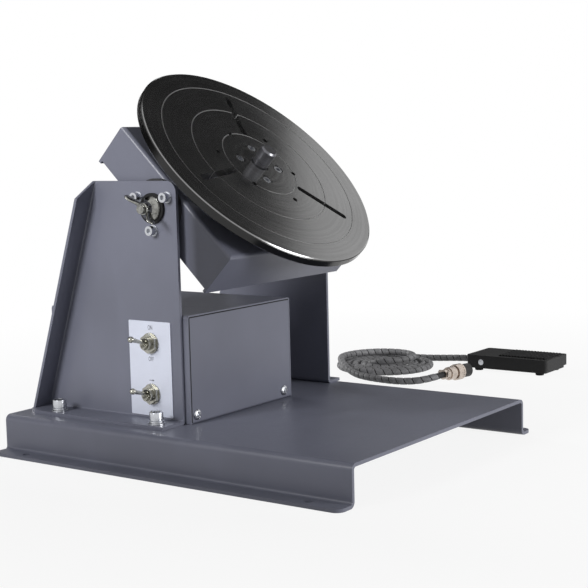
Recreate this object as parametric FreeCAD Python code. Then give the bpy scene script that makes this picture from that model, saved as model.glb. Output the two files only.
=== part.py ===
"""Bench welding positioner: tilting head with a powered faceplate between two uprights,
control box, and a foot pedal on a sleeved cord.  Millimetres, +Z up.

Origin: on the floor, at the middle of the base.  X runs along the base's long bends,
the clamp and the switches face -Y, and the faceplate tips towards +X.
"""
import FreeCAD, Part
import math
import os

V = FreeCAD.Vector
AXIS_X, AXIS_Y, AXIS_Z = V(1, 0, 0), V(0, 1, 0), V(0, 0, 1)

# ---------------------------------------------------------------- driving dimensions
# fits
RUN_FIT = 0.05          # radial clearance of a shaft that turns in a hole
ROCK_FIT = 0.09         # radial clearance of a switch lever in its seat
FREE_GAP = 0.3          # gap between neighbours that only rest close together
BOLT_CLEAR = 0.25       # radial clearance of a screw in its plain hole

# widths: the uprights and the base follow the head
HEAD_Y = 10.0
HEAD_WIDTH = 206.0
NEAR_ROOM = 5.5         # from the head's side to the near upright
FAR_ROOM = 13.5         # from the head's side to the far upright
BASE_SIDE = 44.5        # from the head's side out to the base's bend

# base channel
BASE_LENGTH = 385.0
BASE_WIDTH = HEAD_WIDTH + 2 * BASE_SIDE
BASE_HEIGHT = 35.0
BASE_SHEET = 3.0
BASE_BEND = 2.5         # inside radius
LIP_WIDTH = 18.0
LIP_CORNER = 8.0
LIP_HOLE_R = 3.5
LIP_HOLE_FROM_END = 35.0
LIP_HOLE_FROM_FLANGE = 9.0

# uprights
UPRIGHT_SHEET = 3.0
UPRIGHT_BEND = 1.5
UPRIGHT_TOP = 250.0
UPRIGHT_RIGHT_X = -15.0
UPRIGHT_FOOT_X = -184.0
UPRIGHT_HEAD_X = -113.0
UPRIGHT_CORNER_R = 10.0
NEAR_FACE_Y = HEAD_Y - HEAD_WIDTH / 2 - NEAR_ROOM       # inner face of the near upright
FAR_FACE_Y = HEAD_Y + HEAD_WIDTH / 2 + FAR_ROOM         # inner face of the far upright
SIDE_FLANGE = 19.0
SIDE_FLANGE_CUT = 16.0
NEAR_FOOT = 28.0
FAR_FOOT = 17.5
FOOT_CORNER = 12.0
NEAR_BOLT_OUT = 19.0    # from the plate's outer face
FAR_BOLT_OUT = 7.5
FOOT_BOLT_X = (-148.5, -29.5)

# tilt axis and head
TILT_X = -41.5
TILT_Z = 226.0
TILT_ANGLE = 44.0
HEAD_REAR = 80.0        # behind the tilt axis, up the slope
HEAD_FRONT = 86.0       # ahead of it, down the slope
HEAD_TOP = 24.5         # outer face above the tilt axis
HEAD_SIDE_DROP = 16.5
HEAD_END_DROP = 19.5
HEAD_SHEET = 3.0
HEAD_BEND = 3.5

JOURNAL_R = 7.0
JOURNAL_COLLAR_R = 14.0
JOURNAL_COLLAR = 4.0
STUD_R = 4.0
FLANGE_R = 26.0
FLANGE_PLATE = 5.2
FLANGE_BOSS_R = 15.0
FLANGE_SCREW_PCR = 19.5

# faceplate and spindle
PLATE_R = 125.0
PLATE_THICK = 9.0
PLATE_TOP = 49.4
PLATE_CHAMFER = 1.5
PLATE_PHASE = 8.0       # degrees from down-slope to the first outer chuck hole
PLATE_BORE_R = 9.25
RING_RADII = (40.3, 73.0, 104.0)
RING_WIDTH = 1.0
RING_DEPTH = 0.5
SLOT_INNER = 45.0
SLOT_OUTER = 94.0
SLOT_WIDTH = 6.6
CHUCK_INNER_R = 40.3
CHUCK_OUTER_R = 48.5
CHUCK_HOLE_R = 2.5
HUB_SCREW_PCR = 22.3
NOSE_R = 8.0
NOSE_HEIGHT = 17.8
NOSE_CHAMFER = 1.5
PILOT_BELOW = 1.0       # pilot that centres the plate stops this far below its face
SPINDLE_R = 10.0
SPINDLE_FLANGE_R = 31.0
SPINDLE_FLANGE = 7.0
SPINDLE_COLLAR_R = 12.5

BEARING_OD_R = 21.0
BEARING_WIDTH = 12.0
BEARING_RING = 3.2
HOUSING_R = 27.0
HOUSING_FLANGE_R = 40.0
HOUSING_FLANGE = 5.0
HOUSING_LENGTH = 32.5
HOUSING_SCREW_PCR = 34.0

# gear train: pinion on the gearmotor, gear on the spindle
GEAR_MODULE = 2.0
GEAR_TEETH = 42
PINION_TEETH = 15
GEAR_WIDTH = 8.0
GEAR_HUB_R = 13.0
GEAR_HUB = 1.5
PRESSURE_ANGLE = 20.0
BACKLASH = 0.3
MOTOR_SHAFT_R = 4.0
GEAR_PLATE = 3.0
GEAR_PLATE_Z = -18.0    # top face of the gear plate
GEARBOX_R = 18.5
GEARBOX_LENGTH = 26.0
MOTOR_R = 17.0
MOTOR_LENGTH = 33.0
STANDOFF_R = 4.0

# tilt clamp on the near side, distances outwards from the upright
FRICTION_R = 13.5
FRICTION_THICK = 2.5
CONE_R = 10.6
CONE_NOSE_R = 6.6
CONE_LENGTH = 5.8
WING_HUB_R = 6.0
WING_HUB = 5.8
WING_SPAN_R = 16.0
WING_TIP_OUT = 24.0
WING_THICK = 2.4
WING_ANGLE = 141.0
STUD_OUT = 17.5

# control box
BOX_SHEET = 1.5
BOX_REAR_X = -176.5
BOX_FRONT_X = -9.0
BOX_FAR_Y = 53.5
BOX_TOP = 132.0
BOX_OVERHANG = 1.5
BOX_SCREW_Z = 43.0
BOX_SCREW_NEAR = 8.5
BOX_SCREW_FAR = 12.7
TAB_DEPTH = 22.0
TAB_HEIGHT = 18.0
SUPPLY_IN = (30.0, 34.0)        # power supply's corner from the box's rear near corner
SUPPLY_SIZE = (100.0, 58.0, 36.0)
BOARD_IN = (40.0, 98.0)         # speed board's corner from the same corner
BOARD_SIZE = (84.0, 42.0, 1.6)
BOARD_LIFT = 8.0

# label plate and toggle switches
LABEL_X = (-75.0, -26.0)
LABEL_Z = (40.0, 125.5)
LABEL_THICK = 0.8
SWITCH_X = -49.5
SWITCH_Z = (106.0, 60.0)
BUSH_R = 5.9
LEVER_LENGTH = 22.0
LEVER_LIFT = 17.0
LEVER_BALL_R = 2.9
LEVER_ROOT_R = 1.9      # barrel that the lever rocks on
LEVER_PIN_R = 0.7

# foot pedal, behind the base
PEDAL_REAR_X = -25.0
PEDAL_Y = 468.0
PEDAL_LENGTH = 105.0
PEDAL_WIDTH = 59.0
PEDAL_SHEET = 1.5
TREADLE_TOP = 19.0
TREADLE_SKIRT = 12.5
PEDAL_BASE_GAP = 1.0
PEDAL_FOOT_H = 3.0
PEDAL_FOOT_R = 5.5
PIVOT_FROM_REAR = 20.0
PIVOT_Z = 11.0
PIVOT_R = 2.0
PAD_REAR = 40.0
PAD_RIBS = 15
GLAND_R = 5.0
GLAND_LENGTH = 7.0

# sleeved cord and its plug
CORD_R = 4.0
CORD_END_GAP = 0.25     # the cord runs slightly downhill from the gland and the plug, clear of their faces
COIL_X = -118.0
COIL_Y = 405.5
COIL_R_OUT = 68.0
COIL_R_IN = 19.0
COIL_HEIGHT = 19.0
PLUG_X = -7.5
PLUG_Y = 349.0
PLUG_TURN = 78.0        # degrees, heading of the plug from +X
PLUG_BODY_R = 7.6
PLUG_RING_R = 9.3
PLUG_TIP_R = 7.8

# ---------------------------------------------------------------- small tools


def box(x0, x1, y0, y1, z0, z1):
    return Part.makeBox(x1 - x0, y1 - y0, z1 - z0, V(x0, y0, z0))


def rod(start, axis, radius, length):
    return Part.makeCylinder(radius, length, start, axis)


def ring(start, axis, outer, inner, length):
    return rod(start, axis, outer, length).cut(rod(start, axis, inner, length))


def prism(points, height):
    """A closed polygon pushed along the vector height."""
    return Part.Face(Part.makePolygon(points + [points[0]])).extrude(height)


def fuse(solids):
    first, rest = solids[0], solids[1:]
    return first.multiFuse(rest).removeSplitter() if rest else first


def carve(body, tools):
    """The body less every tool; the tools may overlap one another."""
    solids = body.cut(tools).Solids
    return solids[0] if len(solids) == 1 else Part.makeCompound(solids)


def turned(shape, centre, axis, degrees):
    copy = shape.copy()
    copy.rotate(centre, axis, degrees)
    return copy


def moved(shape, offset):
    copy = shape.copy()
    copy.translate(offset)
    return copy


def hexagon(start, axis, across_flats, length, turn=0.0):
    """A hexagonal bar; its flats face turn degrees from the first cross direction."""
    corner = across_flats / math.sqrt(3.0)
    points = []
    for k in range(6):
        a = math.radians(60 * k + 30 + turn)
        points.append(V(corner * math.cos(a), corner * math.sin(a), 0))
    bar = prism(points, V(0, 0, length))
    bar.Placement = FreeCAD.Placement(start, FreeCAD.Rotation(AXIS_Z, axis))
    return bar


def polar(radius, degrees, z=0.0):
    a = math.radians(degrees)
    return V(radius * math.cos(a), radius * math.sin(a), z)


def cap_screw(seat, axis, size_r, length):
    """Socket head cap screw: head on the axis side of seat, shank the other way."""
    head_r, head_h = size_r * 1.7, size_r * 2.0
    body = rod(seat, axis, head_r, head_h)
    body = body.fuse(rod(seat - axis * length, axis, size_r, length + head_h / 2))
    socket = hexagon(seat + axis * (head_h * 0.45), axis, size_r * 1.6, head_h)
    return body.cut(socket)


def button_screw(seat, axis, size_r, length):
    """Low round head screw with a hexagon socket."""
    head_r, head_h = size_r * 1.85, size_r * 1.1
    head = rod(seat, axis, head_r, head_h)
    head = head.makeChamfer(head_h * 0.5, [e for e in head.Edges if far_edge(e, seat, axis, head_h)])
    head = head.cut(hexagon(seat + axis * (head_h * 0.5), axis, size_r * 1.2, head_h))
    return head.fuse(rod(seat - axis * length, axis, size_r, length + head_h * 0.3))


def far_edge(edge, seat, axis, height):
    if edge.Length < 1e-6 or not isinstance(edge.Curve, Part.Circle):
        return False
    return abs((edge.Curve.Center - seat).dot(axis) - height) < 1e-6


def turned_ball(centre, axis, radius):
    """Ball end turned in a few facets about axis."""
    steps = 8
    rim = []
    for k in range(steps + 1):
        a = math.pi * k / steps
        rim.append(V(radius * math.sin(a), 0, -radius * math.cos(a)))
    ball = Part.Face(Part.makePolygon(rim + [rim[0]])).revolve(V(0, 0, 0), AXIS_Z, 360)
    ball.Placement = FreeCAD.Placement(centre, FreeCAD.Rotation(AXIS_Z, axis))
    return ball


def washer(start, axis, inner_r, outer_r, thick):
    return ring(start, axis, outer_r, inner_r, thick)


def spring_washer(start, axis, inner_r, outer_r, thick):
    """Washer with one narrow slanted cut."""
    body = washer(start, axis, inner_r, outer_r, thick)
    slit = box(inner_r * 0.8, outer_r * 1.1, -0.35, 0.35, -thick, 2 * thick)
    slit = turned(slit, V(0, 0, 0), AXIS_X, 25)
    slit.Placement = FreeCAD.Placement(start, FreeCAD.Rotation(AXIS_Z, axis)).multiply(slit.Placement)
    return body.cut(slit)


def bent_profile(path, thick, inner_r):
    """Closed outline, in the XY plane, of a sheet of one thickness whose middle line is path."""
    half = thick / 2.0
    mid_r = inner_r + half
    left = lambda d: V(-d.y, d.x, 0)
    points = [V(x, y, 0) for x, y in path]
    steps = [(b - a).normalize() for a, b in zip(points, points[1:])]
    sides = []
    for s in (1, -1):
        cursor = points[0] + left(steps[0]) * (half * s)
        start, edges = cursor, []
        for corner, d0, d1 in zip(points[1:-1], steps, steps[1:]):
            turn = math.atan2(d0.x * d1.y - d0.y * d1.x, d0.dot(d1))
            way = 1 if turn > 0 else -1
            trim = mid_r * math.tan(abs(turn) / 2)
            centre = corner - d0 * trim + left(d0) * (mid_r * way)
            radius = mid_r - way * s * half
            middle = (d0 + d1).normalize()
            p0, pm, p1 = (centre - left(d) * (way * radius) for d in (d0, middle, d1))
            edges.append(Part.makeLine(cursor, p0))
            edges.append(Part.Arc(p0, pm, p1).toShape())
            cursor = p1
        end = points[-1] + left(steps[-1]) * (half * s)
        edges.append(Part.makeLine(cursor, end))
        sides.append((start, edges, end))
    (start_a, edges_a, end_a), (start_b, edges_b, end_b) = sides
    caps = [Part.makeLine(end_a, end_b), Part.makeLine(start_b, start_a)]
    return Part.Face(Part.Wire(Part.__sortEdges__(edges_a + edges_b + caps)))


def sheet_along(path, thick, inner_r, origin, first, second, run):
    """A bent sheet: its profile lies in the plane of first and second and runs along run."""
    face = bent_profile(path, thick, inner_r)
    third = first.cross(second)
    face.Placement = FreeCAD.Placement(FreeCAD.Matrix(
        first.x, second.x, third.x, origin.x,
        first.y, second.y, third.y, origin.y,
        first.z, second.z, third.z, origin.z,
        0, 0, 0, 1))
    return face.extrude(run)


def rounded_plate(x0, x1, y0, y1, z0, z1, corner):
    """Flat plate whose four upright corners are rounded."""
    plate = box(x0, x1, y0, y1, z0, z1)
    upright = [e for e in plate.Edges if abs(e.tangentAt(e.FirstParameter).z) > 0.99]
    return plate.makeFillet(corner, upright)


def save(name, solids):
    shape = solids[0] if len(solids) == 1 else Part.makeCompound(solids)
    if not shape.isValid():
        print("not valid:", name)
    shape.exportStep("parts/" + name + ".step")


def head_place(shape):
    """From the head's own frame (origin on the tilt axis, X down the slope) to the row frame."""
    copy = shape.copy()
    place = FreeCAD.Placement(V(TILT_X, 0, TILT_Z), FreeCAD.Rotation(AXIS_Y, TILT_ANGLE))
    copy.Placement = place.multiply(copy.Placement)
    return copy


def save_head(name, solids):
    save(name, [head_place(s) for s in solids])


# ---------------------------------------------------------------- base and uprights
HALF_L, HALF_W = BASE_LENGTH / 2, BASE_WIDTH / 2
NEAR_OUT_Y = NEAR_FACE_Y - UPRIGHT_SHEET
FAR_OUT_Y = FAR_FACE_Y + UPRIGHT_SHEET
NEAR_BOLT_Y = NEAR_OUT_Y - NEAR_BOLT_OUT
FAR_BOLT_Y = FAR_OUT_Y + FAR_BOLT_OUT
FOOT_TOP = BASE_HEIGHT + UPRIGHT_SHEET
M6_R, M5_R, M4_R = 3.0, 2.5, 2.0
FLAT_WASHER, SPRING_WASHER = 1.2, 1.5
CHASSIS_SCREW_X = (BOX_REAR_X + 18, BOX_FRONT_X - 18)
CHASSIS_SCREW_Y = (NEAR_FACE_Y + 18, BOX_FAR_Y - 18)


def base_channel():
    mid = BASE_SHEET / 2
    wall, top = HALF_W - mid, BASE_HEIGHT - mid
    path = [(-HALF_W - LIP_WIDTH, mid), (-wall, mid), (-wall, top),
            (wall, top), (wall, mid), (HALF_W + LIP_WIDTH, mid)]
    body = sheet_along(path, BASE_SHEET, BASE_BEND, V(-HALF_L, 0, 0), AXIS_Y, AXIS_Z, V(BASE_LENGTH, 0, 0))
    reach = HALF_W + LIP_WIDTH
    outline = rounded_plate(-HALF_L, HALF_L, -reach, reach, -1, BASE_HEIGHT + 1, LIP_CORNER)
    body = body.common(outline)
    holes = []
    for sx in (-1, 1):
        for sy in (-1, 1):
            hole = V(sx * (HALF_L - LIP_HOLE_FROM_END), sy * (HALF_W + LIP_HOLE_FROM_FLANGE), -1)
            holes.append(rod(hole, AXIS_Z, LIP_HOLE_R, BASE_SHEET + 2))
    for x in FOOT_BOLT_X:
        for y in (NEAR_BOLT_Y, FAR_BOLT_Y):
            holes.append(rod(V(x, y, BASE_HEIGHT - 5), AXIS_Z, M6_R + BOLT_CLEAR, 10))
    for x in CHASSIS_SCREW_X:
        for y in CHASSIS_SCREW_Y:
            holes.append(rod(V(x, y, BASE_HEIGHT - 5), AXIS_Z, M4_R + BOLT_CLEAR, 10))
    return carve(body, holes)


def slant_x(z):
    """X of the outer face of the slanted flange at height z."""
    share = (z - FOOT_TOP) / (UPRIGHT_TOP - FOOT_TOP)
    return UPRIGHT_FOOT_X + share * (UPRIGHT_HEAD_X - UPRIGHT_FOOT_X)


def upright(inner_y, out, foot):
    """Side plate with a slanted flange and a foot, both bent outwards (out is +1 or -1)."""
    outward = AXIS_Y * out
    outer_y = inner_y + out * UPRIGHT_SHEET
    bend = UPRIGHT_SHEET + UPRIGHT_BEND
    low, high = V(slant_x(BASE_HEIGHT), 0, BASE_HEIGHT), V(slant_x(UPRIGHT_TOP), 0, UPRIGHT_TOP)
    slope = (high - low).normalize()
    inward = V(slope.z, 0, -slope.x)
    start = low + inward * bend
    run = V(start.x, 0, start.z) + slope * ((BASE_HEIGHT + bend - start.z) / slope.z)
    top_left = run + slope * ((UPRIGHT_TOP - run.z) / slope.z)
    plate = prism([V(p.x, inner_y, p.z) for p in (
        run, top_left, V(UPRIGHT_RIGHT_X, 0, UPRIGHT_TOP), V(UPRIGHT_RIGHT_X, 0, run.z))],
        outward * UPRIGHT_SHEET)
    corner = [e for e in plate.Edges
              if abs(e.tangentAt(e.FirstParameter).y) > 0.99
              and (e.CenterOfMass - V(UPRIGHT_RIGHT_X, e.CenterOfMass.y, UPRIGHT_TOP)).Length < 0.01]
    plate = plate.makeFillet(UPRIGHT_CORNER_R, corner)
    mid = UPRIGHT_SHEET / 2
    overlap = bend + 4.0
    side_path = [(overlap, mid), (mid, mid), (mid, UPRIGHT_SHEET + SIDE_FLANGE)]
    below = slope * -20.0
    side = sheet_along(side_path, UPRIGHT_SHEET, UPRIGHT_BEND, V(low.x, inner_y, low.z) + below,
                       inward, outward, slope * (high - low).Length + slope * 60.0)
    foot_path = [(overlap, mid), (mid, mid), (mid, UPRIGHT_SHEET + foot)]
    foot_sheet = sheet_along(foot_path, UPRIGHT_SHEET, UPRIGHT_BEND, V(UPRIGHT_FOOT_X - 6, inner_y, BASE_HEIGHT),
                             AXIS_Z, outward, V(UPRIGHT_RIGHT_X - UPRIGHT_FOOT_X + 6, 0, 0))
    body = fuse([plate, side, foot_sheet])
    keep = box(slant_x(BASE_HEIGHT), UPRIGHT_RIGHT_X, -400, 400, BASE_HEIGHT, UPRIGHT_TOP)
    body = body.common(keep)
    edge_x = slant_x(BASE_HEIGHT)
    far = outer_y + out * (foot + 1)
    corner_cut = prism([V(edge_x - 1, outer_y + out * SIDE_FLANGE, BASE_HEIGHT - 1),
                        V(edge_x - 1, far, BASE_HEIGHT - 1),
                        V(edge_x + FOOT_CORNER + 1, far, BASE_HEIGHT - 1)], V(0, 0, UPRIGHT_TOP))
    head_cut = prism([V(-300, outer_y, UPRIGHT_TOP),
                      V(-300, outer_y + out * (SIDE_FLANGE + 1), UPRIGHT_TOP),
                      V(-300, outer_y + out * (SIDE_FLANGE + 1), UPRIGHT_TOP - SIDE_FLANGE_CUT)],
                     V(300 + UPRIGHT_RIGHT_X, 0, 0))
    outside = prism([V(edge_x - 1, -400, BASE_HEIGHT - 1), V(edge_x, -400, BASE_HEIGHT - 1),
                     V(slant_x(UPRIGHT_TOP), -400, UPRIGHT_TOP), V(slant_x(UPRIGHT_TOP), -400, UPRIGHT_TOP + 1),
                     V(edge_x - 1, -400, UPRIGHT_TOP + 1)], V(0, 800, 0))
    return carve(body, [corner_cut, head_cut, outside])


def flange_screw_points(out_face_y):
    points = []
    for a in (30, 150, 270):
        p = polar(FLANGE_SCREW_PCR, a)
        points.append(V(TILT_X + p.x, out_face_y, TILT_Z + p.y))
    return points


def upright_holes(inner_y, out):
    tools = [rod(V(TILT_X, inner_y - out, TILT_Z), AXIS_Y * out, JOURNAL_R + FREE_GAP, UPRIGHT_SHEET + 2)]
    for p in flange_screw_points(inner_y - out):
        tools.append(rod(p, AXIS_Y * out, M5_R + BOLT_CLEAR, UPRIGHT_SHEET + 2))
    bolt_y = NEAR_BOLT_Y if out < 0 else FAR_BOLT_Y
    for x in FOOT_BOLT_X:
        tools.append(rod(V(x, bolt_y, BASE_HEIGHT - 1), AXIS_Z, M6_R + BOLT_CLEAR, UPRIGHT_SHEET + 2))
    return tools


def switch_points(y):
    return [V(SWITCH_X, y, z) for z in SWITCH_Z]


def build_frame():
    save("base_channel", [base_channel()])
    near = upright(NEAR_FACE_Y, -1, NEAR_FOOT)
    tools = upright_holes(NEAR_FACE_Y, -1)
    for p in switch_points(NEAR_FACE_Y + 1):
        tools.append(rod(p, -AXIS_Y, BUSH_R + BOLT_CLEAR, UPRIGHT_SHEET + 2))
    save("near_upright", [carve(near, tools)])
    far = upright(FAR_FACE_Y, 1, FAR_FOOT)
    save("far_upright", [carve(far, upright_holes(FAR_FACE_Y, 1))])

    bolts, washers, nuts = [], [], []
    nut_height = 5.0
    for x in FOOT_BOLT_X:
        for y in (NEAR_BOLT_Y, FAR_BOLT_Y):
            seat = V(x, y, FOOT_TOP)
            washers.append(washer(seat, AXIS_Z, M6_R + 0.2, M6_R * 2, FLAT_WASHER))
            lock = seat + AXIS_Z * FLAT_WASHER
            washers.append(spring_washer(lock, AXIS_Z, M6_R + 0.1, M6_R * 1.85, SPRING_WASHER))
            under = BASE_SHEET + UPRIGHT_SHEET + FLAT_WASHER + SPRING_WASHER + nut_height + 1.5
            bolts.append(cap_screw(lock + AXIS_Z * SPRING_WASHER, AXIS_Z, M6_R, under))
            nut_at = V(x, y, BASE_HEIGHT - BASE_SHEET - nut_height)
            nut = hexagon(nut_at, AXIS_Z, M6_R * 10 / 3, nut_height, 90)
            nuts.append(nut.cut(rod(nut_at, AXIS_Z, M6_R + RUN_FIT, nut_height)))
    save("upright_bolts", bolts)
    save("upright_bolt_washers", washers)
    save("upright_bolt_nuts", nuts)


# ---------------------------------------------------------------- trunnions and tilt clamp
HEAD_NEAR_Y = HEAD_Y - HEAD_WIDTH / 2
HEAD_FAR_Y = HEAD_Y + HEAD_WIDTH / 2
SIDES = ((NEAR_FACE_Y, -1, HEAD_NEAR_Y), (FAR_FACE_Y, 1, HEAD_FAR_Y))


def bearing_flange(face_y, out, head_y):
    """Bushing plate on the inside of an upright; its boss reaches the head's side."""
    start = V(TILT_X, face_y, TILT_Z)
    reach = abs(face_y - head_y) - FREE_GAP
    body = rod(start, AXIS_Y * -out, FLANGE_R, FLANGE_PLATE)
    if reach > FLANGE_PLATE:
        body = body.fuse(rod(start, AXIS_Y * -out, FLANGE_BOSS_R, reach))
    tools = [rod(start + AXIS_Y * out, AXIS_Y * -out, JOURNAL_R + RUN_FIT, reach + 2)]
    for p in flange_screw_points(face_y + out):
        tools.append(rod(p, AXIS_Y * -out, M5_R + RUN_FIT, FLANGE_PLATE + 2))
    return carve(body, tools)


def trunnion(shoulder_y, out, head_y, stud_length):
    """Collar inside the head's side wall, journal through the flange, threaded stud outside."""
    axis = AXIS_Y * out
    collar = V(TILT_X, head_y - out * (HEAD_SHEET + JOURNAL_COLLAR), TILT_Z)
    body = rod(collar, axis, JOURNAL_COLLAR_R, JOURNAL_COLLAR)
    body = body.fuse(rod(collar, axis, JOURNAL_R, abs(shoulder_y - collar.y)))
    tip = rod(V(TILT_X, shoulder_y, TILT_Z), axis, STUD_R, stud_length)
    end_y = shoulder_y + out * stud_length
    tip = tip.makeChamfer(1.2, [e for e in tip.Edges if abs(e.CenterOfMass.y - end_y) < 1e-6 and e.Length > 1
                                and isinstance(e.Curve, Part.Circle)])
    return body.fuse(tip)


def outwards(distance):
    return V(TILT_X, NEAR_OUT_Y - distance, TILT_Z)


def clamp_cone():
    start = FRICTION_THICK + RUN_FIT
    base = rod(outwards(start), -AXIS_Y, CONE_R, 1.4)
    cone = Part.makeCone(CONE_R - 0.6, CONE_NOSE_R, CONE_LENGTH - 1.4, outwards(start + 1.4), -AXIS_Y)
    return base.fuse(cone).cut(rod(outwards(0), -AXIS_Y, STUD_R + RUN_FIT, 30))


def wing_nut():
    start = FRICTION_THICK + RUN_FIT + CONE_LENGTH + RUN_FIT
    hub = rod(outwards(start), -AXIS_Y, WING_HUB_R, WING_HUB)
    end_y = NEAR_OUT_Y - start - WING_HUB
    hub = hub.makeChamfer(1.2, [e for e in hub.Edges if abs(e.CenterOfMass.y - end_y) < 1e-6
                               and isinstance(e.Curve, Part.Circle)])
    wings = []
    mid_out = start + WING_HUB
    half = WING_THICK / 2
    for side in (0, 180):
        points = [(2.0, start + 1.2), (WING_HUB_R + 1.5, start + 1.2), (WING_SPAN_R - 2.5, mid_out + 1.5),
                  (WING_SPAN_R, WING_TIP_OUT - 4.0), (WING_SPAN_R - 1.5, WING_TIP_OUT),
                  (WING_SPAN_R - 5.5, WING_TIP_OUT - 0.5), (WING_HUB_R + 0.5, mid_out - 0.5), (2.0, mid_out - 1.5)]
        wing = prism([V(TILT_X + r, NEAR_OUT_Y - o, TILT_Z - half) for r, o in points], V(0, 0, WING_THICK))
        wings.append(turned(wing, outwards(0), AXIS_Y, -(WING_ANGLE + side)))
    bore = rod(outwards(0), -AXIS_Y, STUD_R + RUN_FIT, 40)
    return fuse([hub] + wings).cut(bore)


def build_trunnions():
    screws, washers = [], []
    for face_y, out, head_y in SIDES:
        name = "near" if out < 0 else "far"
        save(name + "_bearing_flange", [bearing_flange(face_y, out, head_y)])
        outer = face_y + out * UPRIGHT_SHEET
        for p in flange_screw_points(outer):
            axis = AXIS_Y * out
            washers.append(washer(p, axis, M5_R + 0.2, M5_R * 2, 1.0))
            washers.append(spring_washer(p + axis, axis, M5_R + 0.1, M5_R * 1.8, 1.2))
            screws.append(cap_screw(p + axis * 2.2, axis, M5_R, 2.2 + UPRIGHT_SHEET + FLANGE_PLATE - 0.5))
    save("flange_screws", screws)
    save("flange_screw_washers", washers)
    save("near_trunnion", [trunnion(NEAR_OUT_Y + FREE_GAP, -1, HEAD_NEAR_Y, STUD_OUT + FREE_GAP)])
    nut_h, thrust = 6.5, 1.6
    save("far_trunnion", [trunnion(FAR_OUT_Y + FREE_GAP, 1, HEAD_FAR_Y, thrust + nut_h + 2)])
    seat = V(TILT_X, FAR_OUT_Y + FREE_GAP, TILT_Z)
    locknut = hexagon(seat + AXIS_Y * thrust, AXIS_Y, 13.0, nut_h)
    locknut = locknut.cut(rod(seat, AXIS_Y, STUD_R, 20))
    save("far_trunnion_nut", [washer(seat, AXIS_Y, STUD_R, 11.0, thrust), locknut])
    save("friction_washer", [washer(outwards(0), -AXIS_Y, STUD_R + FREE_GAP, FRICTION_R, FRICTION_THICK)])
    save("clamp_cone", [clamp_cone()])
    save("wing_nut", [wing_nut()])


# ---------------------------------------------------------------- tilting head
HUB_X, HUB_Y = 0.0, HEAD_Y          # spindle axis in the head's frame
CENTRE_DISTANCE = GEAR_MODULE * (GEAR_TEETH + PINION_TEETH) / 2
PINION_X = HUB_X - CENTRE_DISTANCE
HOUSING_TOP = HEAD_TOP + HOUSING_FLANGE
HOUSING_BOTTOM = HOUSING_TOP - HOUSING_LENGTH
PLATE_BOTTOM = PLATE_TOP - PLATE_THICK
SPINDLE_SHOULDER = PLATE_BOTTOM - SPINDLE_FLANGE
GEAR_TOP = HOUSING_BOTTOM - GEAR_HUB
GEAR_BOTTOM = GEAR_TOP - GEAR_WIDTH
STANDOFFS = ((-70.0, 27.0), (-70.0, -27.0), (-38.0, 38.0), (-38.0, -38.0))
HEAD_INNER_TOP = HEAD_TOP - HEAD_SHEET


def hub_rod(radius, z0, z1):
    return rod(V(HUB_X, HUB_Y, z0), AXIS_Z, radius, z1 - z0)


def hub_ring(outer, inner, z0, z1):
    return hub_rod(outer, z0, z1).cut(hub_rod(inner, z0, z1))


def tilt_housing():
    """Open-bottomed sheet pan; its end walls hang lower than its sides."""
    shell = box(-HEAD_REAR, HEAD_FRONT, HEAD_NEAR_Y, HEAD_FAR_Y, -HEAD_END_DROP, HEAD_TOP)
    rim = [e for e in shell.Edges if abs(e.CenterOfMass.z - HEAD_TOP) < 1e-6]
    shell = shell.makeFillet(HEAD_BEND, rim)
    t = HEAD_SHEET
    hollow = box(-HEAD_REAR + t, HEAD_FRONT - t, HEAD_NEAR_Y + t, HEAD_FAR_Y - t, -HEAD_END_DROP - 1, HEAD_TOP - t)
    side_cut = box(-HEAD_REAR + t, HEAD_FRONT - t, HEAD_NEAR_Y - 1, HEAD_FAR_Y + 1,
                   -HEAD_END_DROP - 1, -HEAD_SIDE_DROP)
    tools = [hollow, side_cut, hub_rod(HOUSING_R + FREE_GAP, HEAD_TOP - t - 1, HEAD_TOP + 1),
             rod(V(0, HEAD_NEAR_Y - 1, 0), AXIS_Y, JOURNAL_R, HEAD_WIDTH + 2)]
    for a in (45, 135, 225, 315):
        p = polar(HOUSING_SCREW_PCR, a)
        tools.append(rod(V(HUB_X + p.x, HUB_Y + p.y, HEAD_TOP - t - 1), AXIS_Z, M5_R + RUN_FIT, t + 2))
    for x, y in STANDOFFS:
        tools.append(rod(V(x, HUB_Y + y, HEAD_TOP - t - 1), AXIS_Z, M4_R + BOLT_CLEAR, t + 2))
    return carve(shell, tools)


def bearing_housing():
    body = hub_rod(HOUSING_R, HOUSING_BOTTOM, HOUSING_TOP).fuse(hub_rod(HOUSING_FLANGE_R, HEAD_TOP, HOUSING_TOP))
    tools = [hub_rod(BEARING_OD_R - BEARING_RING, HOUSING_BOTTOM - 1, HOUSING_TOP + 1),
             hub_rod(BEARING_OD_R, HOUSING_TOP - BEARING_WIDTH, HOUSING_TOP + 1),
             hub_rod(BEARING_OD_R, HOUSING_BOTTOM - 1, HOUSING_BOTTOM + BEARING_WIDTH)]
    for a in (45, 135, 225, 315):
        p = polar(HOUSING_SCREW_PCR, a)
        tools.append(rod(V(HUB_X + p.x, HUB_Y + p.y, HEAD_TOP - 1), AXIS_Z, M5_R + BOLT_CLEAR, HOUSING_FLANGE + 2))
    return carve(body, tools)


def bearing_levels():
    return (HOUSING_TOP - BEARING_WIDTH, HOUSING_BOTTOM)


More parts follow.
